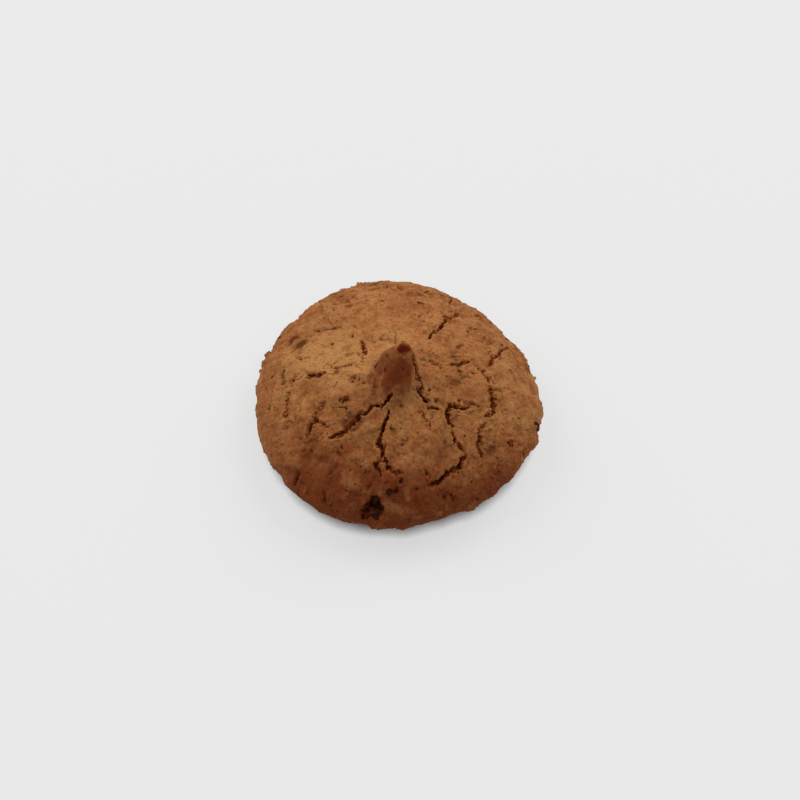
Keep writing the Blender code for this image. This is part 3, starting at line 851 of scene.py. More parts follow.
@dataclass
class Crust:
    """The whole outside of the biscuit as one closed mesh with its relief."""

    form: BiscuitForm
    network: CrackNetwork
    noise: Noise = Noise(SEED)
    # The grid's rows from the middle to the rim, and how they crowd towards the crown.
    half_rows: int = 144
    even_share: float = 0.82
    crowd_power: int = 4
    # The relief dies out over this last part of the reach, so that the rim lies flat.
    quiet_rim: float = 2.5
    # Soft unevenness, size and height: swellings, lumps of paste, crumb, and grain.
    soft_layers: tuple[tuple[float, float], ...] = (
        (3.6, 0.17),
        (1.9, 0.17),
        (1.0, 0.13),
        (0.55, 0.085),
    )
    grains: tuple[Grain, ...] = (
        # Ground nut under the skin, single larger crumbs, and burst bubbles.
        Grain(0.75, 0.75, 0.42, 0.10),
        Grain(2.1, 0.45, 0.75, 0.24),
        Grain(1.3, 0.17, 0.34, -0.30),
        Grain(3.2, 0.36, 0.52, -0.40),
    )
    # Noise that pushes the cracks to and fro: size and height.
    jags: tuple[tuple[float, float], ...] = ((0.75, 0.16), (0.4, 0.12))
    hollow_jag: float = 2.5
    tear_size: float = 0.7
    tear_depths: tuple[float, float] = (0.15, 0.6)
    # The piped peak keeps a little less of the fine relief than the dome.
    smooth_share: float = 0.2
    smooth_reach: tuple[float, float] = (7.5, 4.0)
    fine_range: float = 0.5
    # Burnt patches and painted shade: azimuth, reach, radius and how dark. The first ones are on
    # the peak: the tip burnt, and its front and sides darker, partly painted shade of the side
    # turned from the lamps.
    burn_and_shade_patches: tuple[tuple[float, float, float, float], ...] = (
        (-62.0, 0.75, 1.15, 1.0),
        (-122.0, 0.7, 0.95, 1.0),
        (-110.0, 5.2, 3.9, 0.8),
        (-82.0, 5.0, 3.3, 0.7),
        (-165.0, 4.4, 3.2, 0.42),
        (-140.0, 2.6, 2.4, 0.42),
        (-30.0, 2.2, 1.9, 0.42),
        (-98.0, 1.9, 1.9, 0.42),
        (-147.0, 4.8, 0.55, 0.95),
        (-87.0, 3.6, 0.5, 0.95),
        (168.0, 6.6, 0.8, 0.7),
        (-20.0, 3.4, 0.7, 0.75),
        (-171.0, 7.6, 1.9, 0.3),
        # Round the burst hollow low on the front, and the streak above it.
        (-100.5, 27.6, 2.3, 1.4),
        (-102.8, 29.4, 1.3, 1.6),
        (-98.6, 28.9, 1.1, 1.5),
        (-93.6, 24.2, 0.7, 1.3),
        (-90.2, 23.9, 0.7, 1.3),
    )
    # Patches browner, or paler below zero: azimuth, reach, radius, amount. The pale ones behind
    # the peak and on the back and left of the crown are painted light where it faces the lamps;
    # the brown ones down the front are partly painted shade.
    patches: tuple[tuple[float, float, float, float], ...] = (
        (88.0, 9.0, 5.0, -0.6),
        (160.0, 18.0, 7.0, -0.6),
        (150.0, 11.0, 4.5, -0.3),
        (-70.0, 9.5, 3.0, -0.35),
        (-115.0, 20.0, 6.0, 0.22),
        (-95.0, 26.0, 4.5, 0.15),
        (-52.0, 26.5, 4.0, -0.3),
        (15.0, 9.0, 3.0, 0.3),
        (-125.0, 17.5, 2.8, 0.3),
        (-92.0, 20.0, 7.0, 0.14),
        (-20.0, 22.0, 4.0, -0.2),
        (85.0, 22.0, 7.0, 0.12),
        (-62.0, 13.5, 4.0, 0.16),
    )
    scorch_sizes: tuple[float, float] = (1.1, 0.5)
    scorch_strays: tuple[float, float] = (0.55, 0.25)
    scorch_edges: tuple[float, float] = (1.25, 0.45)
    # The side browns from one height down to the other, and the front most: browning, and on the
    # front partly painted shade of the side turned from the lamps.
    oven_heights: tuple[float, float] = (16.2, 8.2)
    front_brown_and_shade_range: tuple[float, float] = (0.25, 0.9)
    back_share: float = 0.12
    brown_layers: tuple[tuple[float, float], ...] = ((7.0, 0.1), (2.6, 0.07))
    brown_range: tuple[float, float] = (-0.5, 1.0)
    # The foot darker near the table: browned against the tray, and partly painted shade under the
    # overhang.
    tray_brown_and_shade: float = 0.6
    tray_heights: tuple[float, float] = (4.2, 1.8)
    base_brown: float = 0.75
    lip_height: float = 0.15
    floor_rough: float = 0.8
    rim_wander: float = 0.22
    rim_wave: float = 1.5
    # How far the tucked-under side stays off the table before it reaches the rim.
    tuck_gap: float = 0.02
    # The base: each row keeps every so many of the rim's points, for so many rings.
    base_rings: tuple[tuple[int, int], ...] = ((1, 1), (2, 6), (4, 8), (8, 6), (16, 4), (32, 3))
    base_pits: tuple[Grain, ...] = (Grain(1.6, 0.55, 0.7, 0.16), Grain(3.8, 0.4, 1.3, 0.22))
    base_quiet: tuple[float, float] = (0.96, 0.85)
    offset: Array = field(init=False)

    def relief(self, x: Array, y: Array, middle: Array) -> tuple[Array, dict[str, Array]]:
        """Work out how far the crust stands proud, and what its material reads.

        The rise is lumps, soft noise in four sizes, grains and pits, and lips beside
        the cracks, less the cracks and hollows. Noise pushes the places at which the
        cracks are read to and fro, so that their edges run jagged.

        Args:
            x: Disc places across.
            y: Disc places towards the back.
            middle: The smooth crust at those places.

        Returns:
            The rise in millimetres, and the marks by name.
        """
        noise = self.noise
        reach = np.hypot(x, y)
        quiet = smooth_step(self.form.rim, self.form.rim - self.quiet_rim, reach)
        jag_x = noise.layers(middle, self.jags, Field.JAG_ACROSS)
        jag_y = noise.layers(middle, self.jags, Field.JAG_BACK)
        sunk, lip = self.network.grooves(x + jag_x, y + jag_y)
        push = self.hollow_jag
        hollow = self.network.spot_sink(x + push * jag_x, y + push * jag_y)
        fine = noise.layers(middle, self.soft_layers, Field.SOFT)
        for k, kind in enumerate(self.grains):
            fine += kind.rise(noise, middle, Field.GRAINS + GRAIN_FIELDS * k)
        torn = self.floor_rough * noise.soft(middle, self.tear_size, Field.TORN_FLOOR)
        torn = torn * smooth_step(*self.tear_depths, sunk)
        rise = self.form.lump_rise(x, y) - hollow
        rise += (1.0 - self.smooth_share * smooth_step(*self.smooth_reach, reach)) * fine
        rise += self.lip_height * lip - sunk * (1.0 + torn)
        marks = {
            # How deep in a crack or hollow; the material darkens the deepest, painted shade.
            "sunk": sunk + np.maximum(hollow, 0.0),
            "lip": lip,
            # Low where the fine relief stands, high in its pits: the material paints the pits
            # darker, painted shade, and the bumps paler, painted light.
            "low": LEVEL - fine / self.fine_range,
            "bake_light_and_shade": self.browning_light_and_shade(x, y, middle),
            "cap": self.burn_and_shade(x, y, middle),
        }
        return quiet * rise, marks

    def browning_light_and_shade(self, x: Array, y: Array, middle: Array) -> Array:
        """Give how brown each place is: more down the front, partly painted shade, and in patches,
        some of them paler as painted light.

        S curves over the height and the direction give the browning, which towards the front is
        partly painted shade; each patch adds a bell of its radius, and soft noise makes it uneven.

        Args:
            x: Disc places across.
            y: Disc places towards the back.
            middle: The smooth crust at those places.

        Returns:
            How brown each place is, from -0.5 where the crust is paler, in places painted light,
            to 1, and above that on the foot, which browned most against the hot tray and is partly
            painted shade.
        """
        low = smooth_step(*self.oven_heights, middle[:, 2])
        out = np.maximum(np.hypot(middle[:, 0], middle[:, 1]), 1.0)
        front = smooth_step(*self.front_brown_and_shade_range, -middle[:, 1] / out)
        brown = (self.back_share + (1.0 - self.back_share) * front) * low
        brown += self.noise.layers(middle, self.brown_layers, Field.BROWNING)
        for azimuth, far, size, amount in self.patches:
            turn = math.radians(azimuth)
            away = np.hypot(x - far * math.cos(turn), y - far * math.sin(turn))
            brown += amount * np.exp(-((away / size) ** 2))
        tray = self.tray_brown_and_shade * smooth_step(*self.tray_heights, middle[:, 2])
        return np.clip(brown, *self.brown_range) + tray

    def burn_and_shade(self, x: Array, y: Array, middle: Array) -> Array:
        """Give how dark each place is, burnt and painted shade: the largest of a few ragged round
        patches.

        A patch is an S over the distance from its middle, which noise makes ragged.

        Args:
            x: Disc places across.
            y: Disc places towards the back.
            middle: The smooth crust at those places.

        Returns:
            The burn and painted shade, from 0 through 1 on the peak to more round the hollow low
            on the front.
        """
        coarse, fine = self.scorch_sizes
        coarse_stray, fine_stray = self.scorch_strays
        ragged = coarse_stray * self.noise.soft(middle, coarse, Field.SCORCH_EDGE)
        ragged += fine_stray * self.noise.soft(middle, fine, Field.SCORCH_FINE)
        outer, inner = self.scorch_edges
        dark = np.zeros_like(x)
        for azimuth, far, size, amount in self.burn_and_shade_patches:
            turn = math.radians(azimuth)
            away = np.hypot(x - far * math.cos(turn), y - far * math.sin(turn)) + ragged
            dark = np.maximum(dark, amount * smooth_step(outer * size, inner * size, away))
        return dark

    def surface(self, x: Array, y: Array) -> tuple[Array, Array, dict[str, Array]]:
        """Give the finished crust at places of the disc, before it is centred.

        Each point moves along its normal by the relief, and near the rim outwards
        by soft noise.

        Args:
            x: Disc places across.
            y: Disc places towards the back.

        Returns:
            The points, the smooth form's normals and the marks.
        """
        middle, normal = self.form.frame_at(x, y)
        rise, marks = self.relief(x, y, middle)
        points = middle + normal * rise[:, None]
        near_rim = smooth_step(self.form.rim - self.quiet_rim, self.form.rim, np.hypot(x, y))
        wander = self.noise.soft(middle, self.rim_wave, Field.RIM_WANDER)
        wander = self.rim_wander * wander * near_rim
        flat = middle * np.array([1.0, 1.0, 0.0])
        out = flat / np.maximum(np.linalg.norm(flat, axis=1, keepdims=True), TINY)
        points += out * wander[:, None]
        points[:, 2] = np.maximum(points[:, 2], self.tuck_gap * (1.0 - near_rim))
        return points, normal, marks

    def disc_grid(self) -> tuple[Array, Array, Array, Array]:
        """Lay a square grid of points on the disc.

        A square ring of the grid becomes a round one: the larger of the two
        coordinates is the ring, and the other turns into the angle. Rings lie closer
        together on the crown than on the tucked-under side.

        Returns:
            Disc places x and y, the grid's faces, and the rim's points in turn.
        """
        side = 2 * self.half_rows + 1
        line = np.linspace(-1.0, 1.0, side)
        u, v = np.meshgrid(line, line, indexing="ij")
        ring = np.maximum(np.abs(u), np.abs(v))
        safe = np.maximum(ring, TINY)
        wide = np.abs(u) >= np.abs(v)
        share = np.where(wide, v * np.sign(u), -u * np.sign(v)) / safe
        start = np.where(wide, np.where(u > 0, 0.0, math.pi), np.sign(v) * math.pi / 2)
        turn = start + share * math.pi / 4
        crowd = self.even_share + (1.0 - self.even_share) * ring**self.crowd_power
        reach = self.form.rim * ring * crowd
        x, y = (reach * np.cos(turn)).ravel(), (reach * np.sin(turn)).ravel()
        index = np.arange(side * side).reshape(side, side)
        corners = (index[:-1, :-1], index[1:, :-1], index[1:, 1:], index[:-1, 1:])
        faces = np.stack([corner.ravel() for corner in corners], axis=-1)
        last = side - 1
        rim = np.concatenate(
            [index[last, :last], index[last:0:-1, last], index[0, last:0:-1], index[:last, 0]]
        )
        return x, y, faces, rim

    def underside(self, rim: Array, first: int) -> tuple[Array, list[Array]]:
        """Close the base with rings that shrink towards its middle.

        Each ring is the rim scaled down, and every so often keeps only each second
        point; shallow pits lift the flat base by bells round scattered dots.

        Args:
            rim: The rim's points in turn.
            first: The number that the first new point gets.

        Returns:
            The new points and the faces, in which rim points count from -len(rim).
        """
        middle = rim.mean(axis=0)
        steps = sum(rings for _skip, rings in self.base_rings) + 1
        shares = np.linspace(1.0, 0.0, steps + 1)[1:-1]
        outer = np.arange(len(rim)) - len(rim)
        points, faces, level = [], [], 0
        skip_now = 1
        for skip, rings in self.base_rings:
            for _ring in range(rings):
                inner = first + sum(map(len, points)) + np.arange(len(rim) // skip)
                points.append(middle + shares[level] * (rim[::skip] - middle))
                if skip > skip_now:
                    start, mid, end = outer[0::2], outer[1::2], np.roll(outer[0::2], -1)
                    after = np.roll(inner, -1)
                    faces.append(np.stack([inner, mid, start], axis=-1))
                    faces.append(np.stack([inner, after, mid], axis=-1))
                    faces.append(np.stack([after, end, mid], axis=-1))
                else:
                    ring = (inner, np.roll(inner, -1), np.roll(outer, -1), outer)
                    faces.append(np.stack(ring, axis=-1))
                outer, skip_now, level = inner, skip, level + 1
        centre = first + sum(map(len, points))
        points.append(middle[None, :])
        hub = np.full(len(outer), centre)
        faces.append(np.stack([hub, np.roll(outer, -1), outer], axis=-1))
        base = np.concatenate(points)
        lift = np.zeros(len(base))
        for k, pit in enumerate(self.base_pits):
            lift += pit.rise(self.noise, base, Field.BASE_PITS + GRAIN_FIELDS * k)
        reach = np.linalg.norm(base - middle, axis=1) / np.linalg.norm(rim - middle, axis=1).min()
        base[:, 2] = lift * smooth_step(*self.base_quiet, reach)
        return base, faces

    def build(self, material: bpy.types.Material, centre: Array) -> bpy.types.Object:
        """Make the crust's object, its box centred where the solid's is.

        Args:
            material: The baked crust.
            centre: The middle of the solid's box in plan, in millimetres.

        Returns:
            The object.
        """
        x, y, top, rim = self.disc_grid()
        points, _normal, marks = self.surface(x, y)
        points[rim, 2] = 0.0
        middle_x, middle_y = self.form.box_middle
        self.offset = np.array([centre[0] - middle_x, centre[1] - middle_y, 0.0])
        base, low = self.underside(points[rim], len(points))
        rim_number = [np.where(block < 0, rim[np.minimum(block, -1)], block) for block in low]
        plain = {"bake_light_and_shade": self.base_brown, "sunk": 0.0, "lip": 0.0, "low": LEVEL, "cap": 0.0}
        for name, value in plain.items():
            marks[name] = np.concatenate([marks[name], np.full(len(base), value)])
        everything = np.concatenate([points, base]) + self.offset
        return new_piece("crust", everything, [top, *rim_number], material, marks=marks)


class Perch(Enum):
    """Where scattered bits settle."""

    LIPS = "lips"
    FLANK = "flank"
    ALL_OVER = "all over"
    NAMED = "named places"


# Pieces of dark nut and flakes of its skin: azimuth in degrees, reach and radius of each.
NUT_SEATS = (
    (-99.0, 25.4, 0.62),
    (-101.0, 27.0, 0.5),
    (-103.0, 29.1, 0.8),
    (-99.0, 28.6, 0.5),
    (-93.8, 24.4, 0.5),
    (-88.0, 22.4, 0.6),
    (-14.0, 29.8, 0.55),
    (75.0, 27.5, 0.4),
    (150.0, 30.5, 0.5),
    (30.0, 29.5, 0.4),
)
FLAKE_SEATS = (
    (116.4, 24.6, 0.55),
    (98.2, 21.5, 0.4),
    (76.2, 22.9, 0.5),
    (149.4, 24.7, 0.45),
    (142.2, 22.2, 0.35),
    (32.0, 17.0, 0.35),
    (176.8, 24.2, 0.4),
    (-157.4, 13.8, 0.6),
    (-19.8, 15.3, 0.6),
    (129.8, 16.1, 0.4),
    (-26.6, 26.4, 0.55),
    (-28.8, 11.7, 0.45),
    (-143.2, 24.0, 0.4),
    (-128.2, 20.4, 0.35),
    (-136.2, 28.3, 0.4),
    (-54.2, 30.1, 0.4),
    (-69.8, 26.0, 0.35),
    (-117.8, 28.8, 0.45),
)


@dataclass
class Bits:
    """One kind of small loose bit, all copies in one mesh, half sunk in the crust."""

    name: str
    # Thickness and length of a bit for its width of one, and how far it is sunk in.
    squash: float
    stretch: float
    sink: float
    rings: int
    sectors: int
    rough: float
    perch: Perch
    seed: int
    # How many are scattered, and their smallest and largest radius.
    count: int = 0
    low: float = 0.0
    high: float = 0.0
    # Named places, where there are some: azimuth in degrees, reach and radius of each.
    seats: tuple[tuple[float, float, float], ...] = ()
    # Where drawn places are kept: off the rim, off the peak, and by the kind's perch.
    tries: int = 8
    rim_margin: float = 0.8
    peak_reach: tuple[float, float] = (3.0, 8.0)
    flank_heights: tuple[float, float] = (13.0, 5.0)
    off_lip: float = 0.04
    elsewhere: float = 0.25
    anywhere: float = 0.5
    surest: float = 1.25
    tilt: float = 0.3
    table_gap: float = 0.03

    def pebble(self) -> tuple[Array, Array]:
        """Give a unit ball of a few rings of points between two poles.

        Each ring is turned half a sector against the last, so that two rings of
        five are an icosahedron.

        Returns:
            Its points and its triangles.
        """
        latitude = math.pi / 2 - math.pi * (np.arange(self.rings) + 1.0) / (self.rings + 1)
        turn = 2 * math.pi * np.arange(self.sectors) / self.sectors
        turn = turn[None, :] + (math.pi / self.sectors) * np.arange(self.rings)[:, None]
        flat = np.cos(latitude)[:, None]
        height = np.sin(latitude)[:, None] + 0.0 * turn
        ball = np.stack([flat * np.cos(turn), flat * np.sin(turn), height], axis=-1)
        points = np.concatenate([[[0.0, 0.0, 1.0]], ball.reshape(-1, 3), [[0.0, 0.0, -1.0]]])
        ring = 1 + np.arange(self.rings * self.sectors).reshape(self.rings, self.sectors)
        after = np.roll(ring, -1, axis=1)
        top = np.stack([np.zeros_like(ring[0]), ring[0], after[0]], axis=-1)
        low = np.stack([np.full_like(ring[0], len(points) - 1), after[-1], ring[-1]], axis=-1)
        faces = [top, low]
        for upper, upper_after, lower, lower_after in zip(ring, after, ring[1:], after[1:]):
            faces.append(np.stack([upper, lower, upper_after], axis=-1))
            faces.append(np.stack([lower, lower_after, upper_after], axis=-1))
        return points, np.concatenate(faces)

    def places(self, crust: Crust, random: np.random.Generator) -> tuple[Array, Array]:
        """Draw even places of the disc, kept or dropped by where this kind settles.

        Args:
            crust: The crust that carries the bits.
            random: The seeded draw.

        Returns:
            Disc places x and y of the bits that are kept.
        """
        tries = self.count * self.tries
        turn = random.uniform(-math.pi, math.pi, tries)
        far = crust.form.rim - self.rim_margin
        reach = far * np.sqrt(random.uniform(0.0, 1.0, tries))
        x, y = reach * np.cos(turn), reach * np.sin(turn)
        middle, _normal = crust.form.frame_at(x, y)
        if self.perch is Perch.LIPS:
            _sunk, lip = crust.network.grooves(x, y)
            chance = self.off_lip + lip
        elif self.perch is Perch.FLANK:
            chance = self.elsewhere + smooth_step(*self.flank_heights, middle[:, 2])
        else:
            chance = np.full(tries, self.anywhere)
        chance = chance * (self.elsewhere + smooth_step(*self.peak_reach, reach))
        kept = np.nonzero(random.uniform(0.0, self.surest, tries) < chance)[0][: self.count]
        return x[kept], y[kept]

    def build(self, crust: Crust, material: bpy.types.Material) -> bpy.types.Object:
        """Make every bit: a ball, roughened, flattened, turned and set on the crust.

        All bits are worked out at once: the ball's points times each bit's axes,
        turned by its own three directions, and moved to its place.

        Args:
            crust: The crust that carries the bits.
            material: Their finish.

        Returns:
            The object.
        """
        random = np.random.default_rng(self.seed)
        if self.seats:
            azimuth, reach, size = np.array(self.seats).T
            x, y = reach * np.cos(np.radians(azimuth)), reach * np.sin(np.radians(azimuth))
        else:
            x, y = self.places(crust, random)
            size = self.low * (self.high / self.low) ** random.uniform(0.0, 1.0, len(x))
        count = len(x)
        ball, faces = self.pebble()
        long = random.uniform(1.0, self.stretch, count)
        axes = np.stack([long, np.ones(count), np.full(count, self.squash)], axis=-1)
        rough = 1.0 + random.uniform(-self.rough, self.rough, (count, len(ball), 1))
        shape = ball[None] * rough * axes[:, None, :] * size[:, None, None]
        seat, normal, marks = crust.surface(x, y)
        seat = seat + crust.offset
        tilt = normal + random.uniform(-self.tilt, self.tilt, (count, 3))
        up = tilt / np.linalg.norm(tilt, axis=1, keepdims=True)
        side = np.cross(up, random.normal(size=(count, 3)))
        side /= np.linalg.norm(side, axis=1, keepdims=True)
        turned = np.stack([side, np.cross(up, side), up], axis=1)
        points = np.einsum("nvk,nkc->nvc", shape, turned)
        points += (seat - up * (size * self.squash * self.sink)[:, None])[:, None, :]
        points[..., 2] = np.maximum(points[..., 2], self.table_gap)
        numbers = faces[None] + len(ball) * np.arange(count)[:, None, None]
        baked = {name: np.repeat(marks[name], len(ball)) for name in ("bake_light_and_shade", "cap")}
        baked["low"] = np.full(len(ball) * count, LEVEL)
        flat = points.reshape(-1, 3)
        return new_piece(self.name, flat, [numbers.reshape(-1, 3)], material, marks=baked)


@dataclass(frozen=True)
class Layer:
    """A colour laid over another where a value is in a range."""

    source: bpy.types.NodeSocket
    low: float
    high: float
    amount: float
    colour: str


def lay_over(
    tree: bpy.types.NodeTree,
    base: bpy.types.NodeSocket,
    layers: list[Layer],
) -> bpy.types.NodeSocket:
    """Mix colours over a base, one after another, each by an even S over its range.

    Args:
        tree: The material's node tree.
        base: The colour underneath.
        layers: What goes over it, in order.

    Returns:
        The mixed colour.
    """
    for layer in layers:
        mask = add_node(
            tree,
            "ShaderNodeMapRange",
            {"interpolation_type": "SMOOTHSTEP"},
            {"Value": layer.source, 1: layer.low, 2: layer.high, 3: 0.0, 4: layer.amount},
        )
        mixed = add_node(
            tree,
            "ShaderNodeMix",
            {"data_type": "RGBA"},
            {0: mask.outputs[0], 6: base, 7: hex_linear(layer.colour)},
        )
        base = mixed.outputs[2]
    return base


@dataclass(frozen=True)
class BakedCrust:
    """Baked paste of ground nuts and sugar: dull, sandy and mottled tan to brown."""

    name: str = "baked_nut_crust"
    # The paste itself: tan, paler and deeper in patches, with a rosy or olive cast.
    tan: str = "#9C6236"
    pale: str = "#B27E4B"
    deep: str = "#814321"
    rosy: str = "#A96039"
    olive: str = "#8A5F31"
    # What the oven did, with painted shade: the side browned, on the front partly painted shade;
    # the peak roasted, its front side partly painted shade, and burnt wine-dark at the tip.
    browned: str = "#6E2C10"
    roast_and_shade: str = "#79381A"
    cap: str = "#571605"
    # Cracks: a rusty torn edge; a dark floor, painted shade deeper in the crack, which also
    # colours the darkest foot; near black, painted shade in the deepest cracks and hollows, and
    # dark patches round the hollow low on the front.
    torn: str = "#7C330C"
    depth: str = "#4A1A06"
    black_shade_and_burn: str = "#2C140A"
    # Fine marks: dark pits, painted shade in the pits and in the dips of the sand; pale lips, a
    # painted highlight beside the cracks; specks of nut skin, and sugar grains, a colour that also
    # paints the pale patches on the crown, painted light.
    painted_pit_shade: str = "#562A13"
    lip: str = "#B47843"
    skin: str = "#3A2314"
    sugar: str = "#BD8650"
    # Noise patterns: name, size in millimetres and detail.
    patterns: tuple[tuple[str, float, float], ...] = (
        ("patch", 5.0, 3.0),
        ("blotch", 2.6, 2.0),
        ("mottle", 1.4, 4.0),
        ("sand", 0.42, 3.0),
        ("skin", 0.95, 2.0),
        ("bead", 0.55, 1.0),
        ("sugar", 0.6, 1.0),
        ("grit", 0.22, 2.0),
    )
    pattern_rough: float = 0.6
    # Torn crust shows in beads beside a crack: how far out, how uneven, how seldom.
    bead_reach: float = 0.16
    bead_bite: float = 1.7
    bead_lack: float = 0.34
    # Sand runs from one value to the other, and the crust from dull to less dull.
    sand_range: tuple[float, float] = (0.3, 0.7)
    dullness: tuple[float, float] = (0.9, 0.7)
    sheen: float = 0.06
    # Bumps: strength, and height in millimetres.
    grit_bump: tuple[float, float] = (0.5, 0.12)
    sand_bump: tuple[float, float] = (0.6, 0.2)

    def layers(
        self,
        pattern: dict[str, bpy.types.NodeSocket],
        mark: dict[str, bpy.types.NodeSocket],
        ragged: bpy.types.NodeSocket,
    ) -> list[Layer]:
        """List the colours over the tan, from the paste's own to what the oven did, with painted
        light and shade among them.

        Args:
            pattern: The noise patterns by name.
            mark: The mesh's marks by name.
            ragged: How deep in torn crust a place is.

        Returns:
            The layers in order.
        """
        return [
            Layer(pattern["patch"], 0.45, 0.70, 0.7, self.pale),
            Layer(pattern["patch"], 0.48, 0.28, 0.6, self.deep),
            Layer(pattern["blotch"], 0.50, 0.66, 0.45, self.rosy),
            Layer(pattern["blotch"], 0.47, 0.32, 0.5, self.olive),
            Layer(pattern["mottle"], 0.50, 0.70, 0.7, self.pale),
            Layer(pattern["mottle"], 0.48, 0.30, 0.8, self.deep),
            # Painted highlight: paler along the lips of the cracks.
            Layer(mark["lip"], 0.2, 0.9, 0.55, self.lip),
            Layer(pattern["sugar"], 0.66, 0.76, 0.5, self.sugar),
            # Browner low down and most down the front: browning, and on the front partly painted
            # shade; darkest on the foot, browned against the tray and partly painted shade under
            # the overhang.
            Layer(mark["bake_light_and_shade"], 0.05, 0.95, 0.85, self.browned),
            Layer(mark["bake_light_and_shade"], 1.0, 1.6, 0.8, self.depth),
            # Painted light: paler where the crown faces the lamps.
            Layer(mark["bake_light_and_shade"], 0.0, -0.5, 0.75, self.sugar),
            # Painted shade in the dips of the sand bump, and painted light on its tops.
            Layer(pattern["sand"], 0.50, 0.30, 0.5, self.painted_pit_shade),
            Layer(pattern["sand"], 0.56, 0.78, 0.22, self.pale),
            Layer(pattern["skin"], 0.32, 0.26, 0.6, self.skin),
            # The peak: roasted, burnt at the tip, its front side partly painted shade; near black
            # round the hollow low on the front.
            Layer(mark["cap"], 0.0, 0.65, 0.95, self.roast_and_shade),
            Layer(mark["cap"], 0.72, 1.0, 0.97, self.cap),
            Layer(mark["cap"], 1.0, 1.3, 0.9, self.black_shade_and_burn),
            # Painted shade in the pits of the relief, and painted light on its bumps.
            Layer(mark["low"], 0.66, 1.1, 0.85, self.painted_pit_shade),
            Layer(mark["low"], 0.35, 0.0, 0.3, self.pale),
            # The torn edge, then a darker floor deeper in the crack: painted shade.
            Layer(ragged, 0.0, 0.16, 0.9, self.torn),
            Layer(ragged, 0.18, 0.46, 0.85, self.depth),
            # Painted shade: near black in the deepest cracks and hollows.
            Layer(mark["sunk"], 0.85, 1.15, 0.9, self.black_shade_and_burn),
        ]

    def make(self) -> bpy.types.Material:
        """Build the material.

        Sizes are of the pattern on the real biscuit: patches where the paste baked
        paler, sand the size of ground nut, specks of nut skin and sugar grains.

        Returns:
            The material.
        """
        material = bpy.data.materials.new(self.name)
        material.use_nodes = True
        tree = material.node_tree
        shader = tree.nodes["Principled BSDF"]
        place = add_node(tree, "ShaderNodeTexCoord").outputs["Object"]
        pattern = {}
        for label, size, detail in self.patterns:
            noise = add_node(
                tree,
                "ShaderNodeTexNoise",
                {"noise_dimensions": "3D"},
                {
                    "Vector": place,
                    "Scale": 1.0 / (size * MM),
                    "Detail": detail,
                    "Roughness": self.pattern_rough,
                },
            )
            pattern[label] = noise.outputs[0]
        mark = {
            name: add_node(tree, "ShaderNodeAttribute", {"attribute_name": name}).outputs["Fac"]
            for name in ("sunk", "lip", "low", "bake_light_and_shade", "cap")
        }
        torn_edge = add_node(
            tree,
            "ShaderNodeMath",
            {"operation": "MULTIPLY_ADD"},
            {0: mark["lip"], 1: self.bead_reach, 2: mark["sunk"]},
        )
        beaded = add_node(
            tree,
            "ShaderNodeMath",
            {"operation": "MULTIPLY_ADD"},
            {0: pattern["bead"], 1: self.bead_bite, 2: torn_edge.outputs[0]},
        )
        ragged = add_node(
            tree,
            "ShaderNodeMath",
            {"operation": "SUBTRACT"},
            {0: beaded.outputs[0], 1: 0.5 * self.bead_bite + self.bead_lack},
        )
        start = add_node(tree, "ShaderNodeRGB")
        start.outputs[0].default_value = hex_linear(self.tan)
        layers = self.layers(pattern, mark, ragged.outputs[0])
        colour = lay_over(tree, start.outputs[0], layers)
        dull = add_node(
            tree,
            "ShaderNodeMapRange",
            {},
            {
                "Value": pattern["sand"],
                1: self.sand_range[0],
                2: self.sand_range[1],
                3: self.dullness[0],
                4: self.dullness[1],
            },
        )
        strength, height = self.grit_bump
        grit = add_node(
            tree,
            "ShaderNodeBump",
            {},
            {"Strength": strength, "Distance": height * MM, "Height": pattern["grit"]},
        )
        strength, height = self.sand_bump
        sand = add_node(
            tree,
            "ShaderNodeBump",
            {},
            {
                "Strength": strength,
                "Distance": height * MM,
                "Height": pattern["sand"],
                "Normal": grit.outputs[0],
            },
        )
        tree.links.new(colour, shader.inputs["Base Color"])
        tree.links.new(dull.outputs[0], shader.inputs["Roughness"])
        tree.links.new(sand.outputs[0], shader.inputs["Normal"])
        shader.inputs["Specular IOR Level"].default_value = self.sheen
        return material


@dataclass(frozen=True)
class PlainBit:
    """A small bit of one substance, mottled between two colours."""

    name: str
    dark: str
    light: str
    size: float
    roughness: float
    sheen: float
    detail: float = 3.0
    edges: tuple[float, float] = (0.35, 0.65)
    # Strength of the bump, and its height in millimetres.
    bump: tuple[float, float] = (0.4, 0.1)

    def make(self) -> bpy.types.Material:
        """Build the material: noise of the given size mixes the two colours.

        Returns:
            The material.
        """
        material = bpy.data.materials.new(self.name)
        material.use_nodes = True
        tree = material.node_tree
        shader = tree.nodes["Principled BSDF"]
        place = add_node(tree, "ShaderNodeTexCoord").outputs["Object"]
        noise = add_node(
            tree,
            "ShaderNodeTexNoise",
            {},
            {"Vector": place, "Scale": 1.0 / (self.size * MM), "Detail": self.detail},
        )
        start = add_node(tree, "ShaderNodeRGB")
        start.outputs[0].default_value = hex_linear(self.dark)
        layers = [Layer(noise.outputs[0], *self.edges, 1.0, self.light)]
        colour = lay_over(tree, start.outputs[0], layers)
        strength, height = self.bump
        bump = add_node(
            tree,
            "ShaderNodeBump",
            {},
            {"Strength": strength, "Distance": height * MM, "Height": noise.outputs[0]},
        )
        tree.links.new(colour, shader.inputs["Base Color"])
        tree.links.new(bump.outputs[0], shader.inputs["Normal"])
        shader.inputs["Roughness"].default_value = self.roughness
        shader.inputs["Specular IOR Level"].default_value = self.sheen
        return material


@dataclass(frozen=True)
class Lamp:
    """A square soft box: where it hangs, its width in metres and its power in watts."""

    azimuth: float
    elevation: float
    distance: float
    width: float
    power: float


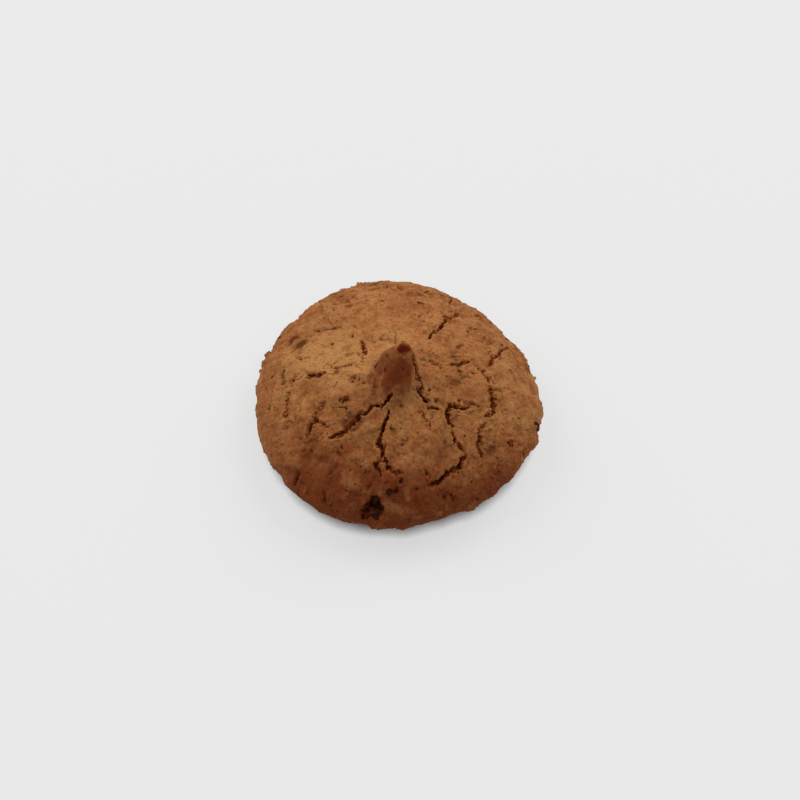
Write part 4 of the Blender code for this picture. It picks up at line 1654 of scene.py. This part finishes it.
@dataclass
class Studio:
    """A pale, glowing table top with a painted contact shadow, soft boxes, an even sky, and the
    camera.
    """

    look: tuple[float, float, float] = (0.32, 2.85, 0.0)
    elevation: float = 60.0
    distance: float = 210.5
    lens: float = 55.38
    sensor: float = 36.0
    # The nearest and farthest that the camera sees, in metres.
    clip: tuple[float, float] = (0.01, 20.0)
    sky: float = 0.33
    floor_colour: str = "#7C7C7C"
    floor_rough: float = 0.95
    floor_glow: float = 0.62
    # The painted contact shadow's reach in millimetres, and how open a place is where it is full
    # and ends.
    floor_shade: float = 4.0
    floor_open: tuple[float, float] = (0.33, 0.69)
    floor_half: float = 2500.0
    floor_drop: float = 0.02
    lamps: tuple[Lamp, ...] = (
        Lamp(azimuth=150.0, elevation=42.0, distance=1.1, width=0.9, power=6.6),
        Lamp(azimuth=42.0, elevation=44.0, distance=1.1, width=0.9, power=7.6),
    )

    def place_camera(self) -> None:
        """Set the camera: it looks towards the back and down by its elevation."""
        tilt = math.radians(self.elevation)
        camera = bpy.data.cameras.new("camera")
        camera.lens, camera.sensor_width = self.lens, self.sensor
        camera.clip_start, camera.clip_end = self.clip
        holder = bpy.data.objects.new("camera", camera)
        x, y, z = self.look
        holder.location = (
            x * MM,
            (y - self.distance * math.cos(tilt)) * MM,
            (z + self.distance * math.sin(tilt)) * MM,
        )
        holder.rotation_euler = (math.pi / 2 - tilt, 0.0, 0.0)
        bpy.context.scene.collection.objects.link(holder)
        bpy.context.scene.camera = holder

    def hang_lamps(self) -> None:
        """Hang the soft boxes, each aimed at the biscuit."""
        for number, lamp in enumerate(self.lamps):
            light = bpy.data.lights.new(f"soft_box_{number}", "AREA")
            light.shape, light.size, light.energy = "SQUARE", lamp.width, lamp.power
            holder = bpy.data.objects.new(light.name, light)
            turn, rise = math.radians(lamp.azimuth), math.radians(lamp.elevation)
            away = lamp.distance
            holder.location = (
                away * math.cos(rise) * math.cos(turn),
                away * math.cos(rise) * math.sin(turn),
                away * math.sin(rise),
            )
            holder.rotation_euler = (math.pi / 2 - rise, 0.0, turn + math.pi / 2)
            bpy.context.scene.collection.objects.link(holder)

    def light_sky(self) -> None:
        """Give an even pale light from all round."""
        world = bpy.data.worlds.new("studio")
        world.use_nodes = True
        background = world.node_tree.nodes["Background"]
        background.inputs["Color"].default_value = (1.0, 1.0, 1.0, 1.0)
        background.inputs["Strength"].default_value = self.sky
        bpy.context.scene.world = world

    def lay_floor(self) -> bpy.types.Object:
        """Lay the table top, a flat sheet just under the biscuit.

        Most of its light is its own glow, painted light that keeps it pale where the lamps'
        shadows fall. An occlusion node dims the glow where the biscuit stands close above it, a
        painted short soft contact shadow.

        Returns:
            The table top.
        """
        material = bpy.data.materials.new("glowing_table_top_painted_shadow")
        material.use_nodes = True
        tree = material.node_tree
        shader = tree.nodes["Principled BSDF"]
        shader.inputs["Base Color"].default_value = hex_linear(self.floor_colour)
        shader.inputs["Roughness"].default_value = self.floor_rough
        shader.inputs["Specular IOR Level"].default_value = 0.0
        shader.inputs["Emission Color"].default_value = (1.0, 1.0, 1.0, 1.0)
        reach = self.floor_shade * MM
        near = add_node(tree, "ShaderNodeAmbientOcclusion", {}, {"Distance": reach})
        glow = add_node(
            tree,
            "ShaderNodeMapRange",
            {},
            {
                "Value": near.outputs["AO"],
                1: self.floor_open[0],
                2: self.floor_open[1],
                3: 0.0,
                4: self.floor_glow,
            },
        )
        tree.links.new(glow.outputs[0], shader.inputs["Emission Strength"])
        half = self.floor_half
        corners = np.array([(-half, -half), (half, -half), (half, half), (-half, half)])
        points = np.column_stack([corners, np.full(4, -self.floor_drop)])
        floor = new_piece("table_top", points, [np.array([[0, 1, 2, 3]])], material, smooth=False)
        return floor

    def build(self) -> None:
        """Set up everything round the biscuit."""
        self.place_camera()
        self.hang_lamps()
        self.light_sky()
        self.lay_floor()
        bpy.context.scene.view_settings.view_transform = "Standard"


def fit(piece: bpy.types.Object) -> None:
    """Fix a piece to the biscuit's body, and report it.

    Args:
        piece: The finished piece.
    """
    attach(piece, BODY)
    LOG.info("%s: %d faces", piece.name, len(piece.data.polygons))


def scattered(crust: bpy.types.Material) -> list[tuple[Bits, bpy.types.Material]]:
    """List the kinds of bits on the crust, each with its finish.

    Args:
        crust: The finish of the baked crust, which its own crumbs share.

    Returns:
        The kinds in the order in which they are made.
    """
    # The papery brown skin of the nut: thin, dull and reddish.
    skin = PlainBit(
        name="nut_skin", dark="#45200B", light="#7A431B", size=0.5, roughness=0.8, sheen=0.02
    ).make()
    # Roasted nut with its skin on: nearly black, with a trace of oil on it.
    nut = PlainBit(
        name="dark_nut", dark="#1E0D06", light="#4A2812", size=0.7, roughness=0.7, sheen=0.08
    ).make()
    crumb = {"rings": 2, "sectors": 5, "rough": 0.2}
    lip_crumbs = Bits(
        name="lip_crumbs", count=700, low=0.14, high=0.32, squash=0.7, stretch=1.5,
        sink=0.3, perch=Perch.LIPS, seed=81, **crumb,
    )
    crumbs = Bits(
        name="crumbs", count=1500, low=0.12, high=0.34, squash=0.65, stretch=1.6,
        sink=0.4, perch=Perch.FLANK, seed=82, **crumb,
    )
    nut_skins = Bits(
        name="nut_skins", count=70, low=0.14, high=0.34, squash=0.3, stretch=2.0,
        rings=1, sectors=6, rough=0.25, sink=0.3, perch=Perch.ALL_OVER, seed=83,
    )
    nut_pieces = Bits(
        name="nut_pieces", squash=0.4, stretch=1.8, rings=4, sectors=7, rough=0.3,
        sink=0.5, perch=Perch.NAMED, seed=84, seats=NUT_SEATS,
    )
    skin_flakes = Bits(
        name="skin_flakes", squash=0.3, stretch=1.9, rings=3, sectors=8, rough=0.25,
        sink=0.5, perch=Perch.NAMED, seed=85, seats=FLAKE_SEATS,
    )
    return [
        (lip_crumbs, crust),
        (crumbs, crust),
        (nut_skins, skin),
        (nut_pieces, nut),
        (skin_flakes, skin),
    ]


def main() -> None:
    """Build every piece in order."""
    logging.basicConfig(level=logging.INFO, format="%(name)s %(message)s")
    Studio().build()
    low, high = (np.array(corner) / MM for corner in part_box(NODE))
    crust = Crust(BiscuitForm(), CrackNetwork())
    crust_material = BakedCrust().make()
    shell = crust.build(crust_material, 0.5 * (low + high))
    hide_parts(NODE)
    fit(shell)
    for bits, finish in scattered(crust_material):
        fit(bits.build(crust, finish))


if __name__ == "__main__":
    main()
